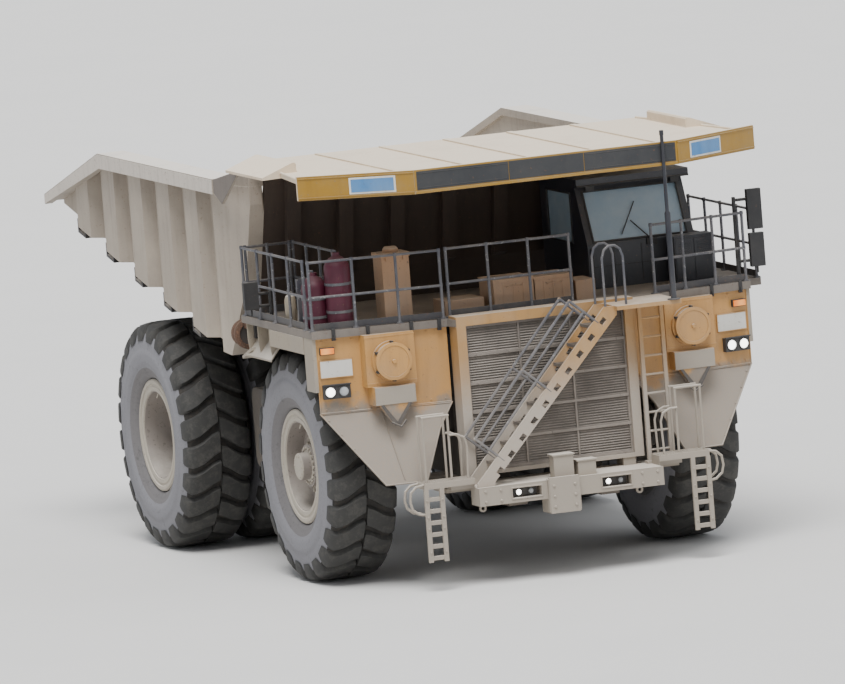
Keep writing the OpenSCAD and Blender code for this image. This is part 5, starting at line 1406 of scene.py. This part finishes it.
@dataclass
class SideFittings:
    """Tank bands, caps and sight tubes, the muffler's outlet, and the rear lamps."""

    tank_xs: Flat = (-0.2475, 1.2025)
    tank_zs: Flat = (1.38, 2.62)
    corner_r: float = 0.16
    band_out: float = 0.008
    outlet: Point = (2.0075, -3.35, 3.72)

    def band(self, shape: Shape, y: float, width: float) -> None:
        """Adds one band round a side tank.

        Args:
            shape: Shape that takes it.
            y: Start of the band across.
            width: Width of the band.
        """
        (x0, x1), (z0, z1), r = self.tank_xs, self.tank_zs, self.corner_r
        outline: list[Flat] = []
        for cz, cx, start in ((z1 - r, x1 - r, 0), (z1 - r, x0 + r, -90),
                              (z0 + r, x0 + r, -180), (z0 + r, x1 - r, -270)):
            for k in range(7):
                a = math.radians(start - 15 * k)
                outline.append((cz + (r + self.band_out) * math.cos(a),
                                cx - (r + self.band_out) * math.sin(a)))
        shape.prism(sorted_ring(outline), y, y + width, "y")

    def tank(self, tanks: Shape) -> None:
        """Adds the bands, filler cap and sight tube of one tank."""
        tanks.mark = 0
        for y in (1.60, 2.36):
            self.band(tanks, y, 0.075)
        tanks.lathe([(0.11, -0.02), (0.11, 0.03), (0.085, 0.04), (0.085, 0.075),
                     (0.001, 0.085)], (0.15, 2.20, self.tank_zs[1]), Z_AXIS, 28)
        tanks.mark = 1
        tanks.tube([(1.0, 2.642, 1.75), (1.0, 2.665, 1.77), (1.0, 2.665, 2.25),
                    (1.0, 2.642, 2.27)], 0.012, 8)

    def muffler(self, shape: Shape) -> None:
        """Adds the outlet's ring and bands, and a dark disc at its mouth for soot and painted shade.
        """
        x, y, z = self.outlet
        shape.lathe([(0.165, -0.01), (0.235, -0.01), (0.235, 0.014), (0.205, 0.028),
                     (0.172, 0.030), (0.165, 0.020)], self.outlet, X_AXIS, 48, closed=True)
        shape.nuts((x + 0.012, y, z), X_AXIS, 0.218, 12, 0.026, 0.018)
        for back in (0.10, 0.19):
            shape.lathe([(0.209, -0.012), (0.218, -0.010), (0.218, 0.010), (0.209, 0.012)],
                        (x - back, y, z), X_AXIS, 48, closed=True)
        # Dark disc over the mouth: soot, and painted shade of the pipe's inside
        shape.mark = 1
        shape.lathe([(0.166, 0.004), (0.090, 0.001), (0.001, 0.0005)], self.outlet, X_AXIS, 32)

    def build(self) -> list[bpy.types.Object]:
        """Makes the three groups as pieces on the chassis."""
        tanks, muffler, lamps = Shape(), Shape(), Shape()
        for _ in each_side(tanks, lamps):
            self.tank(tanks)
            # Housing, red lens, dark lens
            for mark, (low, high) in enumerate((
                    ((-4.20, 0.63, 2.90), (-4.125, 0.87, 3.10)),
                    ((-4.212, 0.65, 3.01), (-4.199, 0.85, 3.08)),
                    ((-4.212, 0.65, 2.92), (-4.199, 0.85, 2.985)))):
                lamps.mark = mark
                lamps.block(low, high)
        self.muffler(muffler)
        return [make("tank_bands_and_caps", tanks, [DARK_STEEL, BLACK_TRIM], "chassis"),
                make("muffler_outlet", muffler, [RUSTY, CORE], "chassis"),
                make("rear_lamps", lamps, [BLACK_TRIM, LENS_RED, LENS_DARK], "chassis",
                     bevel=0.003)]


@dataclass
class CanopyBand:
    """Coloured plates of the canopy's front band, blank where the photo has lettering."""

    # Marks of the finishes in build
    YELLOW, CHARCOAL, BLUE, WHITE = range(4)
    end: Flat = (5.8925, 3.71)
    corner: Flat = (6.7625, 2.13)
    low: float = 6.11
    high: float = 6.48

    def slanted(self, side: Side) -> Matrix:
        """Frame of a slanted end: X out of the band, Y outwards along it, Z up."""
        y_axis = Vector((self.end[0] - self.corner[0], self.end[1] - self.corner[1], 0))
        y_axis.normalize()
        m = Matrix.Translation((*self.corner, 0))
        m.col[0][:3], m.col[1][:3] = Vector((y_axis.y, -y_axis.x, 0)), y_axis
        return mirror_y(side) @ m

    def end_plates(self, shape: Shape) -> None:
        """Adds the plates of one slanted end, in its frame."""
        length = math.hypot(self.end[0] - self.corner[0], self.end[1] - self.corner[1])
        low, high, middle = self.low, self.high, length * 0.36
        shape.mark = self.YELLOW
        shape.block((-0.004, 0.004, low + 0.002), (0.012, length + 0.002, high - 0.002))
        for z in (low + 0.03, high - 0.045):
            shape.block((0.011, 0.01, z), (0.024, length - 0.004, z + 0.016))
        shape.mark = self.WHITE
        shape.block((0.011, middle - 0.36, low + 0.058), (0.018, middle + 0.36, high - 0.058))
        shape.mark = self.BLUE
        shape.block((0.017, middle - 0.33, low + 0.085), (0.023, middle + 0.33, high - 0.085))

    def build(self) -> bpy.types.Object:
        """Makes the ends' plates, and the straight band with its panels and strips."""
        shape = Shape()
        for side in Side:
            shape.place = self.slanted(side)
            self.end_plates(shape)
        shape.place = Matrix.Identity(4)
        (x, half), low, high = self.corner, self.low, self.high
        shape.mark = self.YELLOW
        shape.block((x - 0.004, -half, low + 0.002), (x + 0.012, half, high - 0.002))
        shape.block((x + 0.011, -half, low + 0.004), (x + 0.026, half, low + 0.045))
        shape.mark = self.CHARCOAL
        for y0, y1 in ((-half + 0.03, -0.615), (-0.605, 0.605), (0.615, half - 0.03)):
            shape.block((x + 0.011, y0, low + 0.060), (x + 0.020, y1, high - 0.028))
        for y0, y1 in ((-half + 0.06, -0.65), (0.65, half - 0.06)):
            for z in (low + 0.085, high - 0.065):
                shape.block((x + 0.019, y0, z), (x + 0.024, y1, z + 0.012))
        return make("canopy_band_plates", shape,
                    [SIGN_YELLOW, SIGN_CHARCOAL, SIGN_BLUE, SIGN_WHITE], "dump_body",
                    bevel=0.0025)


@dataclass
class CanopyTrim:
    """Round edge bars of the canopy's plate and wings, and the upstand between them."""

    def build(self) -> bpy.types.Object:
        """Makes the edge members of the canopy."""
        shape = Shape()
        for _ in each_side(shape):
            # Bars at the plate's edge, the wing's outer edge and the upstand's top
            for start, end, radius in (((2.20, 3.17, 6.40), (5.80, 3.62, 6.40), 0.022),
                                       ((2.70, 3.73, 6.335), (4.32, 3.73, 6.335), 0.020),
                                       ((2.66, 3.215, 6.52), (4.36, 3.215, 6.52), 0.018)):
                shape.tube([start, end], radius, 8)
            shape.block((2.66, 3.185, 6.395), (4.36, 3.215, 6.525))
        return make("canopy_edges", shape, [CANOPY_PLATE], "dump_body",
                    bevel=0.004)


@dataclass
class CornerSheets:
    """Thin sheets along the body's top edge, a painted highlight on the rails and painted shade on
    the boards, and caps at its front corners.
    """

    foot_z: float = 5.99
    board_y: float = 3.5985
    rail_y: float = 3.6185

    def build(self) -> list[bpy.types.Object]:
        """Makes the corners' caps, the boards' faces in painted shade and the rails' faces in a
        painted highlight.
        """
        caps, boards, rails = Shape(), Shape(), Shape()
        for _ in each_side(caps, boards, rails):
            # Cap along the taper, rising from the rail to the canopy's plate
            caps.loft([[(x, low, self.foot_z), (x, high, self.foot_z), (x, high, z), (x, low, z)]
                       for x, low, high, z in ((1.43, 3.26, 3.405, 6.09), (1.56, 3.22, 3.37, 6.115),
                                               (2.05, 3.06, 3.24, 6.30), (2.06, 2.90, 3.237, 6.30),
                                               (2.128, 2.90, 3.22, 6.32))])
            # Face of the board between rail and wing, a sheet of painted shade under the wing
            boards.prism([(5.905, 1.56), (5.762, 1.9175), (6.286, 2.765), (6.308, 2.65),
                          (6.112, 1.56)], self.board_y, self.board_y + 0.0075, "y")
            # Face of the top rail, from the tail over the knee to the front, paled as a painted
            # highlight
            rails.prism([(5.112, -6.872), (5.884, -3.985), (5.884, 1.542), (6.104, 1.542),
                         (6.104, -4.026), (5.250, -6.872)], self.rail_y, self.rail_y + 0.007, "y")
        return [make("rail_faces", rails, [PAINTED_HIGHLIGHT_PLATE], "dump_body"),
                make("corner_caps", caps, [BODY_PLATE], "dump_body", bevel=0.004),
                make("board_faces", boards, [PAINTED_SHADE_BOARD], "dump_body")]


@dataclass
class DeckGear:
    """Bottles, boxes, cabinet, mast and mirrors, which stand for the CAD's deck gear."""

    z: float = DECK_Z + 0.001
    bottle_x: float = 5.2475
    hand_bottle: Flat = (4.15, -3.38)
    mast: Flat = (6.8125, 1.88)
    post_y: float = 3.46

    def bottle(self, shape: Shape, x: float, y: float, h: float) -> None:
        """Adds a pressure bottle with shoulder, valve, two straps and a bent pipe.

        Args:
            shape: Shape that takes it.
            x: Place of its axis ahead.
            y: Place of its axis across.
            h: Height of its straight wall.
        """
        z = self.z
        shape.mark = 0
        shape.lathe([(0.001, 0.0), (0.185, 0.0), (0.200, 0.02), (0.200, h), (0.193, h + 0.05),
                     (0.165, h + 0.11), (0.115, h + 0.16), (0.072, h + 0.185),
                     (0.060, h + 0.20), (0.060, h + 0.245), (0.001, h + 0.25)],
                    (x, y, z), Z_AXIS, 40)
        shape.mark = 1
        for f in (0.25, 0.72):
            shape.lathe([(0.199, h * f), (0.207, h * f), (0.207, h * f + 0.04),
                         (0.199, h * f + 0.04)], (x, y, z), Z_AXIS, 40, closed=True)
        shape.tube([(x, y, z + h + 0.23), (x, y, z + h + 0.265), (x - 0.10, y, z + h + 0.262),
                    (x - 0.20, y, z + h + 0.10), (x - 0.215, y, z + 0.5)], 0.014, 8)

    def bottles(self) -> Shape:
        """Shapes the two bottles, the hand bottle by the deck's side, and their back board."""
        shape, z = Shape(), self.z
        self.bottle(shape, self.bottle_x + 0.07, -2.99, 0.90)
        self.bottle(shape, self.bottle_x - 0.19, -3.29, 0.60)
        x, y = self.hand_bottle
        shape.mark = 2
        shape.lathe([(0.001, 0.0), (0.085, 0.0), (0.09, 0.01), (0.09, 0.36), (0.07, 0.42),
                     (0.03, 0.45), (0.03, 0.49), (0.001, 0.50)], (x, y, z), Z_AXIS, 28)
        shape.mark = 1
        shape.tube([(x, y, z + 0.47), (x - 0.09, y, z + 0.50), (x - 0.10, y + 0.08, z + 0.46)],
                   0.012, 8)
        shape.block((self.bottle_x - 0.42, -3.50, z), (self.bottle_x - 0.38, -2.78, z + 0.75))
        return shape

    def boxes(self) -> Shape:
        """Shapes the canister, the battery boxes and the plates over the engine."""
        shape, z = Shape(), self.z
        # Tan canister with lid and latches, beside the bottles
        x0, x1, y0, y1 = 5.0075, 5.4075, -2.29, -1.85
        shape.block((x0, y0, z), (x1, y1, z + 0.98))
        shape.block((x0 - 0.015, y0 - 0.015, z + 0.975), (x1 + 0.015, y1 + 0.015, z + 1.04))
        shape.lathe([(0.001, 0.0), (0.12, 0.0), (0.12, 0.05), (0.09, 0.085), (0.001, 0.09)],
                    ((x0 + x1) / 2, (y0 + y1) / 2, z + 1.04), Z_AXIS, 24)
        for y in (y0 + 0.08, y1 - 0.08):
            shape.block((x1 + 0.001, y - 0.02, z + 0.93), (x1 + 0.03, y + 0.02, z + 1.02))
        # Two battery boxes with lids, handles and ribs
        for a, b, h in ((-0.56, 0.09, 0.46), (0.11, 0.72, 0.44)):
            shape.block((4.8775, a, z), (5.5275, b, z + h - 0.05))
            shape.block((4.865, a - 0.012, z + h - 0.052), (5.54, b + 0.012, z + h))
            shape.tube([(x, y, z + h - 0.12) for x, y in
                        ((5.54, a + 0.2), (5.575, a + 0.2), (5.575, b - 0.2), (5.54, b - 0.2))],
                       0.010, 8)
            for k in range(3):
                y = a + (b - a) * (k + 1) / 4
                shape.block((5.527, y - 0.012, z + 0.03), (5.535, y + 0.012, z + h - 0.08))
        # Low boxes over the engine, on either side of the battery boxes
        shape.block((4.90, 0.80, z), (5.45, 1.12, z + 0.30))
        shape.block((4.95, -1.35, z), (5.50, -0.72, z + 0.22))
        return shape

    def cabinet(self) -> Shape:
        """Shapes the cabinet before the cab, with top, doors and louvres, and the mast."""
        shape, z = Shape(), self.z
        shape.block((4.5275, 2.68, z), (4.8275, 3.31, z + 0.70))
        shape.block((4.515, 2.668, z + 0.698), (4.842, 3.322, z + 0.725))
        for a, b in ((2.70, 2.985), (3.005, 3.29)):
            shape.block((4.8265, a, z + 0.04), (4.838, b, z + 0.67))
            for k in range(6):
                shape.block((4.837, a + 0.05, z + 0.42 + k * 0.035),
                            (4.845, b - 0.05, z + 0.436 + k * 0.035))
        # Mast: stepped tube with base plate and stay
        shape.lathe([(0.10, 0.0), (0.10, 0.015), (0.045, 0.02), (0.045, 1.33), (0.028, 1.36),
                     (0.028, 2.52), (0.034, 2.53), (0.034, 2.60), (0.001, 2.60)],
                    (*self.mast, z), Z_AXIS, 24)
        shape.tube([(*self.mast, z + 0.95), (6.30, 2.05, z + 0.35)], 0.012, 8)
        return shape

    def mirrors(self) -> Shape:
        """Shapes the mirrors' posts, arms, heads and glass."""
        shape, y, z = Shape(), self.post_y, self.z
        for side, x, arms, heads in (
                (Side.LEFT, 5.4775, (0.30, 1.25), ((0.20, 0.72), (0.78, 1.40))),
                (Side.RIGHT, 3.4575, (0.24, 0.43), ((0.20, 0.62),))):
            shape.place = mirror_y(side)
            shape.mark = 0
            shape.tube([(x, y, z), (x, y, z + arms[1] + 0.05)], 0.030, 12)
            for h in arms:
                shape.tube([(x, y, z + h), (x, y + 0.21, z + h)], 0.024)
            for low, high in heads:
                shape.mark = 0
                shape.block((x - 0.035, 3.665, z + low), (x + 0.055, 3.896, z + high))
                shape.mark = 1
                shape.block((x - 0.040, 3.685, z + low + 0.02),
                            (x - 0.034, 3.876, z + high - 0.02))
            shape.mark = 0
            shape.tube([(x, 3.78, z + 0.10), (x, 3.78, z + 0.2)], 0.016, 8)
        return shape

    def build(self) -> list[bpy.types.Object]:
        """Makes bottles, boxes, cabinet with mast, and mirrors as four pieces."""
        gear = ["deck_equipment"]
        return [make("fire_bottles", self.bottles(), [MAROON, RAIL_TUBE, PALE_ENAMEL],
                     "chassis", gear),
                make("deck_boxes", self.boxes(), [BOX_ENAMEL], "chassis", gear,
                     bevel=0.010),
                make("deck_cabinet_and_mast", self.cabinet(), [CAB_ENAMEL], "chassis",
                     gear, bevel=0.004),
                make("mirrors", self.mirrors(), [BLACK_TRIM, MIRROR], "chassis", gear,
                     bevel=0.008)]


@dataclass
class Studio:
    """Floor, light and camera."""

    floor_r: float = 900.0
    lens_mm: float = 677.0
    spot: Point = (232.910, -81.015, 31.491)
    turn: Point = (1.47189062, 0.98442372, -0.99760595)
    aim: Point = (0.15, 0.10, 3.05)

    def floor(self) -> None:
        """Lays a pale floor that reaches past every view."""
        mesh = bpy.data.meshes.new("studio_floor")
        r, n = self.floor_r, 96
        ring = [(r * math.cos(2 * math.pi * k / n), r * math.sin(2 * math.pi * k / n), -0.002)
                for k in range(n)]
        mesh.from_pydata(ring, [], [tuple(range(n))])
        mesh.materials.append(FLOOR.material())
        obj = bpy.data.objects.new("studio_floor", mesh)
        bpy.context.scene.collection.objects.link(obj)

    def light(self) -> None:
        """Sets an even sky, a wide soft key from ahead on the left, and a weak fill."""
        world = bpy.data.worlds.new("studio_sky")
        world.use_nodes = True
        back = world.node_tree.nodes["Background"]
        back.inputs[0].default_value = linear("#e9eef5")
        back.inputs[1].default_value = 0.68
        bpy.context.scene.world = world
        # Name, strength, angle in degrees, direction
        for name, power, spread, aim in (
                ("key", 4.2, 32.0, (-0.44, 0.20, -1.0)),
                ("fill", 0.45, 60.0, (-0.55, -0.85, -0.35))):
            lamp = bpy.data.lights.new(name, "SUN")
            lamp.energy = power
            lamp.angle = math.radians(spread)
            obj = bpy.data.objects.new(name, lamp)
            obj.rotation_mode = "QUATERNION"
            obj.rotation_quaternion = Vector(aim).to_track_quat("-Z", "Y")
            bpy.context.scene.collection.objects.link(obj)

    def camera(self) -> None:
        """Puts the camera where the photo was taken, aimed at the truck's middle."""
        data = bpy.data.cameras.new("camera")
        data.lens = self.lens_mm
        data.sensor_width = 36.0
        data.clip_start = 1.0
        data.clip_end = 2000.0
        obj = bpy.data.objects.new("camera", data)
        # Axes of the photo's camera, from its rotation vector, then turned to the truck
        vec = Vector(self.turn)
        world_to_cam = Matrix.Rotation(vec.length, 3, vec.normalized())
        photo = world_to_cam.transposed() @ Matrix.Diagonal((1, -1, -1))
        seen = -photo.col[2]
        aim = (Vector(self.aim) - Vector(self.spot)).normalized()
        turned = seen.rotation_difference(aim).to_matrix() @ photo
        obj.rotation_mode = "QUATERNION"
        obj.rotation_quaternion = turned.to_quaternion()
        obj.location = self.spot
        bpy.context.scene.collection.objects.link(obj)
        bpy.context.scene.camera = obj


# Finish of each CAD node, by its name without the side
CAD_FINISHES: dict[str, Finish] = {
    "main_frame": DARK_STEEL, "front_bumper": PALE_ENAMEL, "step_platforms": PALE_ENAMEL,
    "radiator_frame": OCHRE_FADED, "radiator_grille": LOUVRE, "stairway": OCHRE_FADED,
    "engine_block": FORGED, "decks": DECK_PLATE, "front_fenders": OCHRE,
    "air_cleaners": OCHRE, "headlamps": LENS_DARK, "handrails": RAIL_TUBE,
    "deck_equipment": MAROON, "cab_shell": CAB_ENAMEL, "cab_glass": PANE_PAINTED_SKY,
    "cab_interior": BLACK_TRIM, "cab_door": CAB_ENAMEL, "door_glass": PANE_PAINTED_SKY,
    "side_tanks": DARK_STEEL, "mufflers": RUSTY, "front_suspension": DARK_STEEL,
    "rear_axle_housing": DARK_STEEL, "rear_suspension": DARK_STEEL, "knuckle": FORGED,
    "tie_rod": FORGED, "front_tyre": TREAD, "rear_tyres": TREAD, "front_rim": RIM_STEEL_DIRT_AND_SHADE,
    "rear_rims": RIM_STEEL_DIRT_AND_SHADE, "body_floor": BODY_PLATE, "body_underframe": DARK_STEEL,
    "body_sides": BODY_PLATE, "body_front_wall": SHADED_PLATE, "canopy": CANOPY_PLATE,
    "hoist_barrel": FORGED, "hoist_sleeve": FORGED, "hoist_rod": CHROME,
}


def dress_nodes() -> None:
    """Gives every CAD node its finish."""
    for name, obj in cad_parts.items():
        finish = CAD_FINISHES[name.removesuffix("_left").removesuffix("_right")]
        if not obj.material_slots:
            obj.data.materials.append(finish.material())
        for spot in obj.material_slots:
            spot.material = finish.material()
        LOG.info("%s dressed as %s", name, finish.name)


def build_wheels() -> None:
    """Makes the tyres and the rims' fittings of all four hubs."""
    for side in Side:
        word, sign = side.word, side.value
        front, rear = f"front_wheel_{word}", f"rear_wheels_{word}"
        Tyres(f"tyre_front_{word}", front, f"front_tyre_{word}", FRONT_X,
              (sign * FRONT_WHEEL_Y,), side).build()
        Tyres(f"tyres_rear_{word}", rear, f"rear_tyres_{word}", REAR_X,
              tuple(sign * y for y in REAR_TYRE_YS), side).build()
        RimTrim(f"rim_fittings_front_{word}", front, FRONT_X, sign * FRONT_WHEEL_Y, side,
                rear=False).build()
        RimTrim(f"rim_fittings_rear_{word}", rear, REAR_X, sign * REAR_HUB_Y, side,
                rear=True).build()


def main() -> None:
    """Dresses the frame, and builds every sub-assembly."""
    logging.basicConfig(level=logging.INFO, format="%(message)s")
    studio = Studio()
    studio.camera()
    studio.floor()
    studio.light()
    dress_nodes()
    build_wheels()
    for part in (Grille(), StairTrim(), BumperTrim(), Lamps(), FenderTrim(), DeckEdges(),
                 CabTrim(), SideFittings(), CanopyBand(), CanopyTrim(), CornerSheets(),
                 DeckGear()):
        part.build()


if __name__ == "__main__":
    main()
